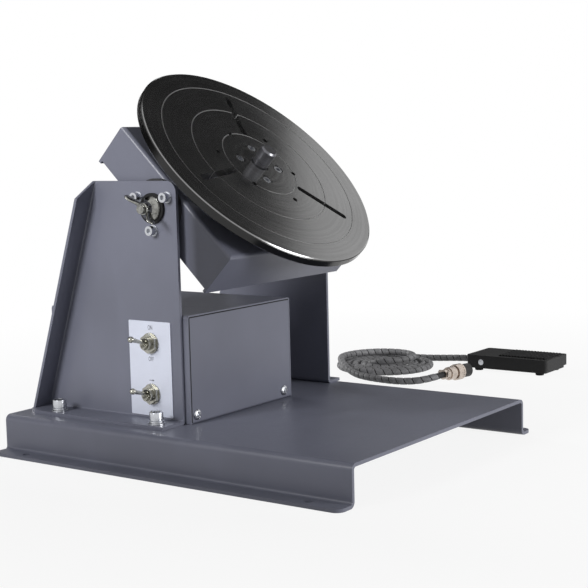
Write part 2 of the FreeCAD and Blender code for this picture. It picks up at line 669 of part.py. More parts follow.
def gear_profile(teeth, phase, width):
    """Involute spur gear about the Z axis at the origin, one tooth centred at phase degrees."""
    pitch = GEAR_MODULE * teeth / 2
    base = pitch * math.cos(math.radians(PRESSURE_ANGLE))
    tip, root = pitch + GEAR_MODULE * 0.95, pitch - GEAR_MODULE * 1.2
    involute = lambda a: math.tan(a) - a
    half = math.pi / (2 * teeth) - BACKLASH / (4 * pitch) + involute(math.radians(PRESSURE_ANGLE))
    low = max(base, root + 0.2)
    radii = [low + (tip - low) * k / 3.0 for k in range(4)]
    flank = [(r, half - involute(math.acos(min(1.0, base / r)))) for r in radii]
    points = []
    for k in range(teeth):
        centre = math.radians(phase) + 2 * math.pi * k / teeth
        outline = [(root, -half * 1.04)] + [(r, -a) for r, a in flank]
        outline += [(r, a) for r, a in reversed(flank)] + [(root, half * 1.04)]
        for r, a in outline:
            points.append(V(r * math.cos(centre + a), r * math.sin(centre + a), 0))
    return prism(points, V(0, 0, width))


def driven_gear():
    gear = moved(gear_profile(GEAR_TEETH, 0, GEAR_WIDTH), V(HUB_X, HUB_Y, GEAR_BOTTOM))
    gear = gear.fuse(hub_rod(GEAR_HUB_R, GEAR_TOP, HOUSING_BOTTOM))
    tools = [hub_rod(SPINDLE_R, GEAR_BOTTOM - 1, HOUSING_BOTTOM + 1)]
    web_r, hole_r = GEAR_MODULE * GEAR_TEETH / 2 * 0.6, 7.0
    for k in range(6):
        p = polar(web_r, 60 * k + 30)
        tools.append(rod(V(HUB_X + p.x, HUB_Y + p.y, GEAR_BOTTOM - 1), AXIS_Z, hole_r, GEAR_WIDTH + 2))
    return carve(gear, tools)


def drive_pinion():
    """Pinion with the gearmotor's output shaft, which runs down into the gearbox."""
    width = GEAR_WIDTH + 1.0
    gap_to_gear = 180.0 / PINION_TEETH
    pinion = moved(gear_profile(PINION_TEETH, gap_to_gear, width), V(PINION_X, HUB_Y, GEAR_BOTTOM - 0.5))
    boss = rod(V(PINION_X, HUB_Y, GEAR_TOP), AXIS_Z, MOTOR_SHAFT_R * 2, 5)
    shaft_bottom = GEAR_PLATE_Z - GEAR_PLATE - 10
    shaft = rod(V(PINION_X, HUB_Y, shaft_bottom), AXIS_Z, MOTOR_SHAFT_R, GEAR_TOP + 7 - shaft_bottom)
    return fuse([pinion, boss, shaft])


def gearbox():
    """Round gearbox under the gear plate; its pilot boss centres it in the plate."""
    pilot = MOTOR_SHAFT_R + 3
    top = GEAR_PLATE_Z - GEAR_PLATE
    body = rod(V(PINION_X, HUB_Y, top - GEARBOX_LENGTH), AXIS_Z, GEARBOX_R, GEARBOX_LENGTH)
    rims = [e for e in body.Edges if isinstance(e.Curve, Part.Circle) and e.CenterOfMass.z < top - 1]
    body = body.makeChamfer(1.0, rims)
    body = body.fuse(rod(V(PINION_X, HUB_Y, top), AXIS_Z, pilot, GEAR_PLATE))
    bore = rod(V(PINION_X, HUB_Y, top - 11), AXIS_Z, MOTOR_SHAFT_R + RUN_FIT, GEAR_PLATE + 12)
    holes = [rod(p - AXIS_Z * 8, AXIS_Z, 1.5 + RUN_FIT, 9) for p in gearbox_screw_points(top)]
    return carve(body, [bore] + holes)


def gearbox_screw_points(z):
    return [V(PINION_X, HUB_Y, z) + polar(GEARBOX_R - 4.5, a) for a in (45, 135, 225, 315)]


def gear_motor():
    """Motor can with its end bell and two terminals."""
    top = GEAR_PLATE_Z - GEAR_PLATE - GEARBOX_LENGTH
    can = rod(V(PINION_X, HUB_Y, top - MOTOR_LENGTH), AXIS_Z, MOTOR_R, MOTOR_LENGTH)
    can = can.makeChamfer(1.5, [e for e in can.Edges if isinstance(e.Curve, Part.Circle)
                               and e.CenterOfMass.z < top - 1])
    bell = rod(V(PINION_X, HUB_Y, top - MOTOR_LENGTH - 3), AXIS_Z, MOTOR_R * 0.45, 4)
    tags = [box(PINION_X - 2, PINION_X + 2, HUB_Y + s * 11 - 0.4, HUB_Y + s * 11 + 0.4,
                top - MOTOR_LENGTH - 6, top - MOTOR_LENGTH + 1) for s in (-1, 1)]
    return fuse([can, bell] + tags)


def gear_plate():
    corner = 6.0
    rear = -HEAD_REAR + HEAD_SHEET + 1.0
    half = max(y for _, y in STANDOFFS) + 7.0
    front = max(x for x, _ in STANDOFFS) + 8.0
    plate = rounded_plate(rear, front, HUB_Y - half, HUB_Y + half, GEAR_PLATE_Z - GEAR_PLATE, GEAR_PLATE_Z, corner)
    low = GEAR_PLATE_Z - GEAR_PLATE - 1
    tools = [rod(V(PINION_X, HUB_Y, low), AXIS_Z, MOTOR_SHAFT_R + 3 + RUN_FIT, GEAR_PLATE + 2)]
    for x, y in STANDOFFS:
        tools.append(rod(V(x, HUB_Y + y, low), AXIS_Z, M4_R + BOLT_CLEAR, GEAR_PLATE + 2))
    for p in gearbox_screw_points(low):
        tools.append(rod(p, AXIS_Z, 1.5 + RUN_FIT, GEAR_PLATE + 2))
    return carve(plate, tools)


def standoff_fasteners():
    """Spacers from the head's top to the gear plate, a screw in each end, and the gearbox screws."""
    solids = []
    for x, y in STANDOFFS:
        low = V(x, HUB_Y + y, GEAR_PLATE_Z)
        post = rod(low, AXIS_Z, STANDOFF_R, HEAD_INNER_TOP - GEAR_PLATE_Z)
        solids.append(post.cut(rod(low, AXIS_Z, M4_R + RUN_FIT, HEAD_INNER_TOP - GEAR_PLATE_Z)))
        solids.append(button_screw(V(x, HUB_Y + y, HEAD_TOP), AXIS_Z, M4_R, HEAD_SHEET + 8))
        solids.append(button_screw(V(x, HUB_Y + y, GEAR_PLATE_Z - GEAR_PLATE), -AXIS_Z, M4_R, GEAR_PLATE + 8))
    for p in gearbox_screw_points(GEAR_PLATE_Z):
        solids.append(button_screw(p, AXIS_Z, 1.5, GEAR_PLATE + 6))
    for a in (45, 135, 225, 315):
        p = polar(HOUSING_SCREW_PCR, a)
        seat = V(HUB_X + p.x, HUB_Y + p.y, HOUSING_TOP)
        solids.append(button_screw(seat, AXIS_Z, M5_R, HOUSING_FLANGE + HEAD_SHEET))
    return solids


def build_head():
    save_head("tilt_housing", [tilt_housing()])
    save_head("bearing_housing", [bearing_housing()])
    outer_rings, inner_rings = [], []
    inner_r = SPINDLE_R + BEARING_RING
    for z in bearing_levels():
        top = z + BEARING_WIDTH
        outer_rings.append(hub_ring(BEARING_OD_R, BEARING_OD_R - BEARING_RING, z, top))
        outer_rings.append(hub_ring(BEARING_OD_R - BEARING_RING, inner_r + RUN_FIT, z + 1, top - 1))
        inner_rings.append(hub_ring(inner_r, SPINDLE_R, z, top))
    save_head("bearing_outer_rings", outer_rings)
    save_head("bearing_inner_rings", inner_rings)
    save_head("gear_plate", [gear_plate()])
    save_head("head_screws_and_spacers", standoff_fasteners())
    save_head("gearbox", [gearbox()])
    save_head("gear_motor", [gear_motor()])
    save_head("driven_gear", [driven_gear()])
    save_head("drive_pinion", [drive_pinion()])


# ---------------------------------------------------------------- faceplate and spindle


def radial_slot(degrees):
    """Slot through the plate, round at both ends, along a radius."""
    half = SLOT_WIDTH / 2
    low = PLATE_BOTTOM - 1
    height = PLATE_THICK + 2
    body = box(SLOT_INNER, SLOT_OUTER, -half, half, low, low + height)
    ends = [rod(V(r, 0, low), AXIS_Z, half, height) for r in (SLOT_INNER, SLOT_OUTER)]
    slot = fuse([body] + ends)
    return moved(turned(slot, V(0, 0, 0), AXIS_Z, degrees), V(HUB_X, HUB_Y, 0))


def faceplate():
    disc = hub_rod(PLATE_R, PLATE_BOTTOM, PLATE_TOP)
    disc = disc.makeChamfer(PLATE_CHAMFER, [e for e in disc.Edges if isinstance(e.Curve, Part.Circle)])
    tools = [hub_rod(PLATE_BORE_R, PLATE_BOTTOM - 1, PLATE_TOP + 1)]
    for r in RING_RADII:
        tools.append(hub_ring(r + RING_WIDTH / 2, r - RING_WIDTH / 2, PLATE_TOP - RING_DEPTH, PLATE_TOP + 1))
    for k in range(3):
        turn = PLATE_PHASE + 120 * k
        tools.append(radial_slot(turn + 30))
        for radius, angle in ((CHUCK_OUTER_R, turn), (CHUCK_INNER_R, turn + 60)):
            p = polar(radius, angle)
            hole = V(HUB_X + p.x, HUB_Y + p.y, PLATE_BOTTOM - 1)
            tools.append(rod(hole, AXIS_Z, CHUCK_HOLE_R, PLATE_THICK + 2))
    for p in hub_screw_points():
        tools.append(rod(p + AXIS_Z * PLATE_BOTTOM, AXIS_Z, M5_R + BOLT_CLEAR, PLATE_THICK))
        tools.append(rod(p + AXIS_Z * (PLATE_TOP - M5_R * 2 - 0.5), AXIS_Z, M5_R * 2, 20))
    return carve(disc, tools)


def hub_screw_points():
    return [V(HUB_X, HUB_Y, 0) + polar(HUB_SCREW_PCR, PLATE_PHASE + 60 + 90 * k) for k in range(4)]


def spindle():
    nose = hub_rod(NOSE_R, PLATE_BOTTOM - 1, PLATE_TOP + NOSE_HEIGHT)
    nose = nose.makeChamfer(NOSE_CHAMFER, [e for e in nose.Edges if isinstance(e.Curve, Part.Circle)
                                           and abs(e.CenterOfMass.z - PLATE_TOP - NOSE_HEIGHT) < 1e-6])
    pilot = hub_rod(PLATE_BORE_R - RUN_FIT, PLATE_BOTTOM - 1, PLATE_TOP - PILOT_BELOW)
    shaft_end = GEAR_BOTTOM - 3.5
    body = fuse([nose, pilot, hub_rod(SPINDLE_FLANGE_R, SPINDLE_SHOULDER, PLATE_BOTTOM),
                 hub_rod(SPINDLE_COLLAR_R, HOUSING_TOP, SPINDLE_SHOULDER + 1),
                 hub_rod(SPINDLE_R, shaft_end, HOUSING_TOP + 1)])
    groove = hub_ring(SPINDLE_R + 1, SPINDLE_R - 0.8, GEAR_BOTTOM - 1.2, GEAR_BOTTOM)
    tapped = [rod(p + AXIS_Z * (SPINDLE_SHOULDER - 1), AXIS_Z, M5_R + RUN_FIT, SPINDLE_FLANGE + 2)
              for p in hub_screw_points()]
    return carve(body, [groove] + tapped)


def retaining_ring():
    """Outside circlip in the groove under the gear, open on one side with two eyes."""
    z0, z1 = GEAR_BOTTOM - 1.1, GEAR_BOTTOM
    clip = hub_ring(SPINDLE_R + 2.2, SPINDLE_R - 0.7, z0, z1)
    gap = box(HUB_X, HUB_X + 20, HUB_Y - 3, HUB_Y + 3, z0 - 1, z1 + 1)
    clip = clip.cut(gap)
    eyes = []
    for s in (-1, 1):
        centre = V(HUB_X + SPINDLE_R + 1.6, HUB_Y + s * 4.6, z0)
        eyes.append(rod(centre, AXIS_Z, 1.9, z1 - z0))
    holes = [rod(V(HUB_X + SPINDLE_R + 2.2, HUB_Y + s * 4.6, z0 - 1), AXIS_Z, 0.8, 4) for s in (-1, 1)]
    shaft = hub_rod(SPINDLE_R - 0.7, z0 - 1, z1 + 1)
    return carve(fuse([clip] + eyes), [shaft] + holes)


def build_faceplate():
    save_head("faceplate", [faceplate()])
    save_head("spindle", [spindle()])
    seats = [p + AXIS_Z * (PLATE_TOP - M5_R * 2 - 0.5) for p in hub_screw_points()]
    depth = PLATE_THICK - M5_R * 2 - 0.5 + SPINDLE_FLANGE - 1
    save_head("faceplate_screws", [cap_screw(p, AXIS_Z, M5_R, depth) for p in seats])
    save_head("spindle_retaining_ring", [retaining_ring()])


# ---------------------------------------------------------------- control box
BOX_NEAR_Y = NEAR_FACE_Y + FREE_GAP
BOX_FLOOR = BASE_HEIGHT
PANEL_Y0 = BOX_NEAR_Y + BOX_SHEET + 0.2
PANEL_Y1 = BOX_FAR_Y - BOX_SHEET - 0.2
SCREW_Y = (BOX_NEAR_Y + BOX_SCREW_NEAR, BOX_FAR_Y - BOX_SCREW_FAR)
SWITCH_BODY = (30.0, 19.0, 26.0)        # X, Z and depth of a toggle switch body
KNOB_AT = (BOX_REAR_X, -62.0, 96.0)
SOCKET_AT = (BOX_REAR_X, 28.0, 66.0)
INLET_AT = (BOX_REAR_X, -22.0, 66.0)
INLET_SIZE = (27.5, 20.0)


def chassis():
    """Floor with the front and rear panels bent up from it."""
    mid = BOX_SHEET / 2
    top = BOX_TOP - BOX_SHEET - 0.2
    path = [(BOX_REAR_X + mid, top), (BOX_REAR_X + mid, BOX_FLOOR + mid),
            (BOX_FRONT_X - mid, BOX_FLOOR + mid), (BOX_FRONT_X - mid, top)]
    body = sheet_along(path, BOX_SHEET, 1.0, V(0, PANEL_Y1, 0), AXIS_X, AXIS_Z, V(0, PANEL_Y0 - PANEL_Y1, 0))
    tools = []
    for x in CHASSIS_SCREW_X:
        for y in CHASSIS_SCREW_Y:
            tools.append(rod(V(x, y, BOX_FLOOR - 1), AXIS_Z, M4_R + BOLT_CLEAR, BOX_SHEET + 2))
    for y in SCREW_Y:
        for x in (BOX_REAR_X - 1, BOX_FRONT_X - BOX_SHEET - 1):
            tools.append(rod(V(x, y, BOX_SCREW_Z), AXIS_X, M4_R + BOLT_CLEAR, BOX_SHEET + 2))
    for (x, y, z), r in ((KNOB_AT, 3.5 + RUN_FIT), (SOCKET_AT, 8.0 + RUN_FIT)):
        tools.append(rod(V(x - 1, y, z), AXIS_X, r, BOX_SHEET + 2))
    x, y, z = INLET_AT
    w, h = INLET_SIZE
    tools.append(box(x - 1, x + BOX_SHEET + 1, y - w / 2, y + w / 2, z - h / 2, z + h / 2))
    return carve(body, tools)


def box_lid():
    """Top with both side walls bent down, a screw tab at each corner and a rear overhang."""
    mid = BOX_SHEET / 2
    low = BOX_FLOOR + FREE_GAP
    path = [(BOX_NEAR_Y + mid, low), (BOX_NEAR_Y + mid, BOX_TOP - mid),
            (BOX_FAR_Y - mid, BOX_TOP - mid), (BOX_FAR_Y - mid, low)]
    length = BOX_FRONT_X - BOX_REAR_X
    body = sheet_along(path, BOX_SHEET, 0.8, V(BOX_REAR_X, 0, 0), AXIS_Y, AXIS_Z, V(length, 0, 0))
    hang = box(BOX_REAR_X - BOX_OVERHANG, BOX_REAR_X + 1, BOX_NEAR_Y + 2, BOX_FAR_Y - 2,
               BOX_TOP - BOX_SHEET, BOX_TOP)
    parts = [body, hang]
    z0, z1 = BOX_SCREW_Z - TAB_HEIGHT / 2 + 4, BOX_SCREW_Z + TAB_HEIGHT / 2 + 4
    for x0 in (BOX_REAR_X + BOX_SHEET + 0.1, BOX_FRONT_X - 2 * BOX_SHEET - 0.1):
        parts.append(box(x0, x0 + BOX_SHEET, BOX_NEAR_Y + mid, BOX_NEAR_Y + TAB_DEPTH, z0, z1))
        parts.append(box(x0, x0 + BOX_SHEET, BOX_FAR_Y - TAB_DEPTH, BOX_FAR_Y - mid, z0, z1))
    body = fuse(parts)
    tools = []
    for y in SCREW_Y:
        for x in (BOX_REAR_X, BOX_FRONT_X - 3 * BOX_SHEET):
            tools.append(rod(V(x, y, BOX_SCREW_Z), AXIS_X, M4_R + RUN_FIT, 3 * BOX_SHEET))
    w, h, _ = SWITCH_BODY
    for p in switch_points(0):
        tools.append(box(p.x - w / 2 - 2, p.x + w / 2 + 2, BOX_NEAR_Y - 1, BOX_NEAR_Y + BOX_SHEET + 1,
                         p.z - h / 2 - 2, p.z + h / 2 + 2))
    return carve(body, tools)


def power_supply():
    """Enclosed supply: folded case with a row of ventilation slots and a terminal strip."""
    x0, y0, z0 = BOX_REAR_X + SUPPLY_IN[0], PANEL_Y0 + SUPPLY_IN[1], BOX_FLOOR + BOX_SHEET
    length, width, height = SUPPLY_SIZE
    x1, y1, top = x0 + length, y0 + width, z0 + height
    case = box(x0, x1, y0, y1, z0, top)
    slots = [box(x0 + 20 + 9 * k, x0 + 24 + 9 * k, y0 + 10, y1 - 10, top - 1, top + 1) for k in range(8)]
    notch = box(x1 - 14, x1 + 1, y0 + 3, y1 - 3, z0 + 12, top + 1)
    case = carve(case, slots + [notch])
    strip = box(x1 - 13, x1 - 3, y0 + 8, y1 - 8, z0 + 12, z0 + 24)
    return [case, strip]


def speed_board():
    """Circuit board on four spacers with its heat sink, capacitor, and terminals."""
    x0, y0, z0 = BOX_REAR_X + BOARD_IN[0], PANEL_Y0 + BOARD_IN[1], BOX_FLOOR + BOX_SHEET
    length, width, thick = BOARD_SIZE
    board = z0 + BOARD_LIFT
    top = board + thick
    solids = [box(x0, x0 + length, y0, y0 + width, board, top)]
    for dx in (4, length - 4):
        for dy in (4, width - 4):
            solids.append(rod(V(x0 + dx, y0 + dy, z0), AXIS_Z, 3.0, BOARD_LIFT))
    fins = [box(x0 + 12, x0 + 42, y0 + 10, y0 + 32, top, top + 3)]
    fins += [box(x0 + 12, x0 + 42, y0 + 10 + 5 * k, y0 + 12 + 5 * k, top + 2, top + 22) for k in range(5)]
    solids.append(fuse(fins))
    solids.append(rod(V(x0 + 56, y0 + 14, top), AXIS_Z, 8.0, 25))
    solids.append(box(x0 + 68, x0 + 80, y0 + 4, y0 + 38, top, top + 10))
    return solids


def potentiometer():
    x, y, z = KNOB_AT
    body = rod(V(x + BOX_SHEET, y, z), AXIS_X, 8.2, 9)
    bush = rod(V(x - 5, y, z), AXIS_X, 3.5, BOX_SHEET + 6)
    nut = hexagon(V(x - 2.2, y, z), AXIS_X, 10.0, 2.2).cut(rod(V(x - 3, y, z), AXIS_X, 3.5, 4))
    bore = rod(V(x - 6, y, z), AXIS_X, 3.0 + RUN_FIT, 12)
    return [fuse([body, bush]).cut(bore), nut]


def speed_knob():
    """Fluted knob on the potentiometer's shaft."""
    x, y, z = KNOB_AT
    start = x - 6.0
    knob = rod(V(start, y, z), -AXIS_X, 11.0, 14)
    knob = knob.makeChamfer(1.0, [e for e in knob.Edges if isinstance(e.Curve, Part.Circle)
                                 and abs(e.CenterOfMass.x - start + 14) < 1e-6])
    flutes = []
    for k in range(12):
        p = polar(12.2, 30 * k + 15)
        flutes.append(rod(V(start - 2, y + p.x, z + p.y), -AXIS_X, 2.0, 14))
    pointer = box(start - 14.5, start - 13.4, y - 0.6, y + 0.6, z + 3, z + 11)
    knob = carve(knob, flutes + [pointer])
    shaft = rod(V(x + 4, y, z), -AXIS_X, 3.0, 12)
    return knob.fuse(shaft)


def mains_inlet():
    """Three-pin appliance inlet, screwed to the rear panel by its two ears."""
    x, y, z = INLET_AT
    w, h = INLET_SIZE
    plate = rounded_along_x(x - 2.5, x, y, z, 50.0, 24.0, 4.0)
    body = box(x - 1, x + 16, y - w / 2 + 0.1, y + w / 2 - 0.1, z - h / 2 + 0.1, z + h / 2 - 0.1)
    mouth = prism([V(x - 4, y + a, z + b) for a, b in (
        (-12, -8), (12, -8), (12, 3), (8, 7.5), (-8, 7.5), (-12, 3))], V(16, 0, 0))
    ears = [rod(V(x - 4, y + s * 20, z), AXIS_X, 1.6, 6) for s in (-1, 1)]
    shell = carve(fuse([plate, body]), [mouth] + ears)
    pins = [box(x + 3, x + 13, y + a - 1, y + a + 1, z + b - 2, z + b + 2) for a, b in ((-7, -3), (7, -3), (0, 2.5))]
    screws = []
    for s in (-1, 1):
        screws.append(button_screw(V(x - 2.5, y + s * 20, z), -AXIS_X, 1.5, 2.3))
    return [fuse([shell] + pins)] + screws


def rounded_along_x(x0, x1, y, z, width, height, corner):
    plate = box(x0, x1, y - width / 2, y + width / 2, z - height / 2, z + height / 2)
    edges = [e for e in plate.Edges if abs(e.tangentAt(e.FirstParameter).x) > 0.99]
    return plate.makeFillet(corner, edges)


def pedal_socket():
    """Round panel socket that takes the pedal's plug: threaded collar, flange nut and pins."""
    x, y, z = SOCKET_AT
    collar = ring(V(x - 12, y, z), AXIS_X, 8.0, 6.8, 20)
    core = rod(V(x - 3, y, z), AXIS_X, 6.9, 11)
    seat = ring(V(x - 2.5, y, z), AXIS_X, 10.5, 7.9, 2.5)
    body = fuse([collar, core, seat])
    pins = [rod(V(x - 7.2, y + p.x, z + p.y), AXIS_X, 0.7, 6) for p in (polar(3.6, 120 * k) for k in range(3))]
    nut = hexagon(V(x + BOX_SHEET, y, z), AXIS_X, 19.0, 3).cut(rod(V(x, y, z), AXIS_X, 8.0, 8))
    return [fuse([body] + pins), nut]


def build_box():
    save("control_box_chassis", [chassis()])
    save("control_box_lid", [box_lid()])
    screws = []
    for y in SCREW_Y:
        screws.append(button_screw(V(BOX_FRONT_X, y, BOX_SCREW_Z), AXIS_X, M4_R, 6))
        screws.append(button_screw(V(BOX_REAR_X, y, BOX_SCREW_Z), -AXIS_X, M4_R, 6))
    save("box_cover_screws", screws)
    fixings = []
    nut_h = 3.2
    for x in CHASSIS_SCREW_X:
        for y in CHASSIS_SCREW_Y:
            length = BOX_SHEET + BASE_SHEET + nut_h + 1
            fixings.append(button_screw(V(x, y, BOX_FLOOR + BOX_SHEET), AXIS_Z, M4_R, length))
            low = V(x, y, BASE_HEIGHT - BASE_SHEET - nut_h)
            fixings.append(hexagon(low, AXIS_Z, 7.0, nut_h).cut(rod(low, AXIS_Z, M4_R + RUN_FIT, nut_h)))
    save("box_floor_screws", fixings)
    save("power_supply", power_supply())
    save("speed_board", speed_board())
    save("speed_potentiometer", potentiometer())
    save("speed_knob", [speed_knob()])
    save("mains_inlet", mains_inlet())
    save("pedal_socket", pedal_socket())


# ---------------------------------------------------------------- label and toggle switches
LABEL_OUT_Y = NEAR_OUT_Y - LABEL_THICK
LOCK_RING, SWITCH_NUT, BUSH_OUT = 1.2, 3.2, 8.2
PIVOT_Y = LABEL_OUT_Y - LOCK_RING - SWITCH_NUT


def label_plate():
    plate = box(LABEL_X[0], LABEL_X[1], LABEL_OUT_Y, NEAR_OUT_Y, LABEL_Z[0], LABEL_Z[1])
    edges = [e for e in plate.Edges if abs(e.tangentAt(e.FirstParameter).y) > 0.99]
    plate = plate.makeFillet(1.0, edges)
    return carve(plate, [rod(p, AXIS_Y, BUSH_R + BOLT_CLEAR, 5) for p in switch_points(LABEL_OUT_Y - 1)])


def switch_body(p):
    """Body behind the plate, threaded bush through it, three tags at the back."""
    w, h, depth = SWITCH_BODY
    y0 = NEAR_FACE_Y
    body = box(p.x - w / 2, p.x + w / 2, y0, y0 + depth, p.z - h / 2, p.z + h / 2)
    bush = rod(V(p.x, y0 + 1, p.z), -AXIS_Y, BUSH_R, y0 + 1 - LABEL_OUT_Y + BUSH_OUT)
    tags = [box(p.x + dx - 2.5, p.x + dx + 2.5, y0 + depth - 1, y0 + depth + 8, p.z - 0.4, p.z + 0.4)
            for dx in (-9, 0, 9)]
    pivot = V(p.x, PIVOT_Y, p.z)
    reach = LABEL_OUT_Y - BUSH_OUT - PIVOT_Y
    mouth = Part.makeCone(LEVER_ROOT_R, LEVER_ROOT_R + abs(reach) * 0.85, abs(reach), pivot, -AXIS_Y)
    half = LEVER_ROOT_R + ROCK_FIT
    seat = rod(V(p.x - half, PIVOT_Y, p.z), AXIS_X, half, 2 * half)
    pin = rod(V(p.x - BUSH_R, PIVOT_Y, p.z), AXIS_X, LEVER_PIN_R + ROCK_FIT, 2 * BUSH_R)
    return carve(fuse([body, bush] + tags), [mouth, seat, pin])


def switch_hardware(p):
    lock = ring(V(p.x, LABEL_OUT_Y, p.z), -AXIS_Y, 9.4, BUSH_R + 0.1, LOCK_RING)
    start = V(p.x, LABEL_OUT_Y - LOCK_RING, p.z)
    nut = hexagon(start, -AXIS_Y, 16.0, SWITCH_NUT).cut(rod(start, -AXIS_Y, BUSH_R + 0.05, SWITCH_NUT))
    return [lock, nut]


def switch_lever(p):
    """Ball-ended lever, leaning up from the bush."""
    pivot = V(p.x, PIVOT_Y, p.z)
    a = math.radians(LEVER_LIFT)
    along = V(0, -math.cos(a), math.sin(a))
    stem = Part.makeCone(1.3, 2.1, LEVER_LENGTH, pivot, along)
    root = rod(V(p.x - LEVER_ROOT_R, PIVOT_Y, p.z), AXIS_X, LEVER_ROOT_R, 2 * LEVER_ROOT_R)
    ball = turned_ball(pivot + along * LEVER_LENGTH, along, LEVER_BALL_R)
    pin = rod(V(p.x - BUSH_R + 1, PIVOT_Y, p.z), AXIS_X, LEVER_PIN_R, 2 * BUSH_R - 2)
    return fuse([stem, root, ball, pin])


def build_switches():
    points = switch_points(0)
    save("label_plate", [label_plate()])
    save("toggle_switch_bodies", [switch_body(p) for p in points])
    hardware = []
    for p in points:
        hardware += switch_hardware(p)
    save("toggle_switch_nuts", hardware)
    for name, p in zip(("power_switch_lever", "direction_switch_lever"), points):
        save(name, [switch_lever(p)])


# ---------------------------------------------------------------- foot pedal
PEDAL_FRONT_X = PEDAL_REAR_X + PEDAL_LENGTH
PIVOT_X = PEDAL_REAR_X + PIVOT_FROM_REAR
SKIRT_LOW = TREADLE_TOP - TREADLE_SKIRT
BASE_HALF = PEDAL_WIDTH / 2 - PEDAL_SHEET - PEDAL_BASE_GAP
BASE_REAR_X = PEDAL_REAR_X + PEDAL_SHEET + PEDAL_BASE_GAP
BASE_FRONT_X = PEDAL_FRONT_X - PEDAL_SHEET - PEDAL_BASE_GAP
BASE_WALL_TOP = PEDAL_FOOT_H + 8.5
CORD_EXIT_Z = 9.5


def pan(x0, x1, half_width, low, high, sheet, corner, open_side):
    """Sheet pan open at the top (open_side +1) or at the bottom (-1), with rounded corners."""
    body = rounded_plate(x0, x1, PEDAL_Y - half_width, PEDAL_Y + half_width, low, high, corner)
    shift = sheet * open_side
    hollow = rounded_plate(x0 + sheet, x1 - sheet, PEDAL_Y - half_width + sheet, PEDAL_Y + half_width - sheet,
                           low + shift, high + shift, corner - sheet * 0.5)
    return body.cut(hollow)


def pedal_base():
    body = pan(BASE_REAR_X, BASE_FRONT_X, BASE_HALF, PEDAL_FOOT_H, BASE_WALL_TOP, PEDAL_SHEET, 3.0, 1)
    ears = []
    for s in (-1, 1):
        wall = PEDAL_Y + s * (BASE_HALF - PEDAL_SHEET / 2)
        ears.append(box(PIVOT_X - 6, PIVOT_X + 6, wall - PEDAL_SHEET / 2, wall + PEDAL_SHEET / 2,
                        PEDAL_FOOT_H + 2, PIVOT_Z + PIVOT_R + 2.2))
    rear_wall = box(BASE_REAR_X, BASE_REAR_X + PEDAL_SHEET, PEDAL_Y - 14, PEDAL_Y + 14,
                    PEDAL_FOOT_H + 2, CORD_EXIT_Z + GLAND_R + 1)
    body = fuse([body, rear_wall] + ears)
    holes = [rod(V(PIVOT_X, PEDAL_Y - 50, PIVOT_Z), AXIS_Y, PIVOT_R + RUN_FIT, 100),
             rod(V(PEDAL_REAR_X - 5, PEDAL_Y, CORD_EXIT_Z), AXIS_X, GLAND_R - 1.0 + RUN_FIT, 15)]
    for x, y in pedal_foot_points():
        holes.append(rod(V(x, y, PEDAL_FOOT_H - 1), AXIS_Z, 1.6, 4))
    return carve(body, holes)


def pedal_foot_points():
    inset = 10.0
    return [(x, PEDAL_Y + s * (BASE_HALF - 6.5)) for x in (BASE_REAR_X + inset, BASE_FRONT_X - inset)
            for s in (-1, 1)]


def treadle():
    body = pan(PEDAL_REAR_X, PEDAL_FRONT_X, PEDAL_WIDTH / 2, SKIRT_LOW, TREADLE_TOP, PEDAL_SHEET, 3.5, -1)
    tools = [rod(V(PIVOT_X, PEDAL_Y - 50, PIVOT_Z), AXIS_Y, PIVOT_R + RUN_FIT, 100),
             box(PEDAL_REAR_X - 1, PEDAL_REAR_X + PEDAL_BASE_GAP + PEDAL_SHEET + 1,
                 PEDAL_Y - GLAND_R - 2, PEDAL_Y + GLAND_R + 2, SKIRT_LOW - 1, CORD_EXIT_Z + GLAND_R + 2.0)]
    return carve(body, tools)


def treadle_pad():
    """Rubber pad with cross ribs, and a plain bar at its front end."""
    x0, x1 = PEDAL_REAR_X + PAD_REAR, PEDAL_FRONT_X - 4.0
    half = PEDAL_WIDTH / 2 - 7.0
    sheet = box(x0, x1, PEDAL_Y - half, PEDAL_Y + half, TREADLE_TOP, TREADLE_TOP + 0.6)
    pitch = (x1 - x0) / PAD_RIBS
    ribs = []
    for k in range(PAD_RIBS):
        low = x0 + pitch * (k + 0.2)
        ribs.append(box(low, low + pitch * 0.5, PEDAL_Y - half, PEDAL_Y + half, TREADLE_TOP + 0.5, TREADLE_TOP + 1.6))
    return fuse([sheet] + ribs)


def pedal_spring():
    """Return spring between the base and the treadle: wire in short chords round four turns."""
    wire, radius, turns, chords = 0.6, 4.0, 4, 10
    low, high = PEDAL_FOOT_H + PEDAL_SHEET + wire, TREADLE_TOP - PEDAL_SHEET - wire
    centre = V(PEDAL_FRONT_X - 30, PEDAL_Y - 12, low)
    points = []
    for k in range(turns * chords + 1):
        rise = (high - low) * k / (turns * chords)
        points.append(centre + polar(radius, 360.0 * k / chords, rise))
    path = Part.makePolygon(points)
    section = Part.Wire(Part.makePolygon(square_ring(points[0], points[1] - points[0], wire)))
    return path.makePipeShell([section], True, True, 1)


def square_ring(centre, heading, radius):
    """Closed eight-cornered ring of points about heading."""
    side = heading.cross(AXIS_Z).normalize()
    up = side.cross(heading).normalize()
    corners = []
    for k in range(9):
        a = math.pi * k / 4
        corners.append(centre + side * (radius * math.cos(a)) + up * (radius * math.sin(a)))
    return corners


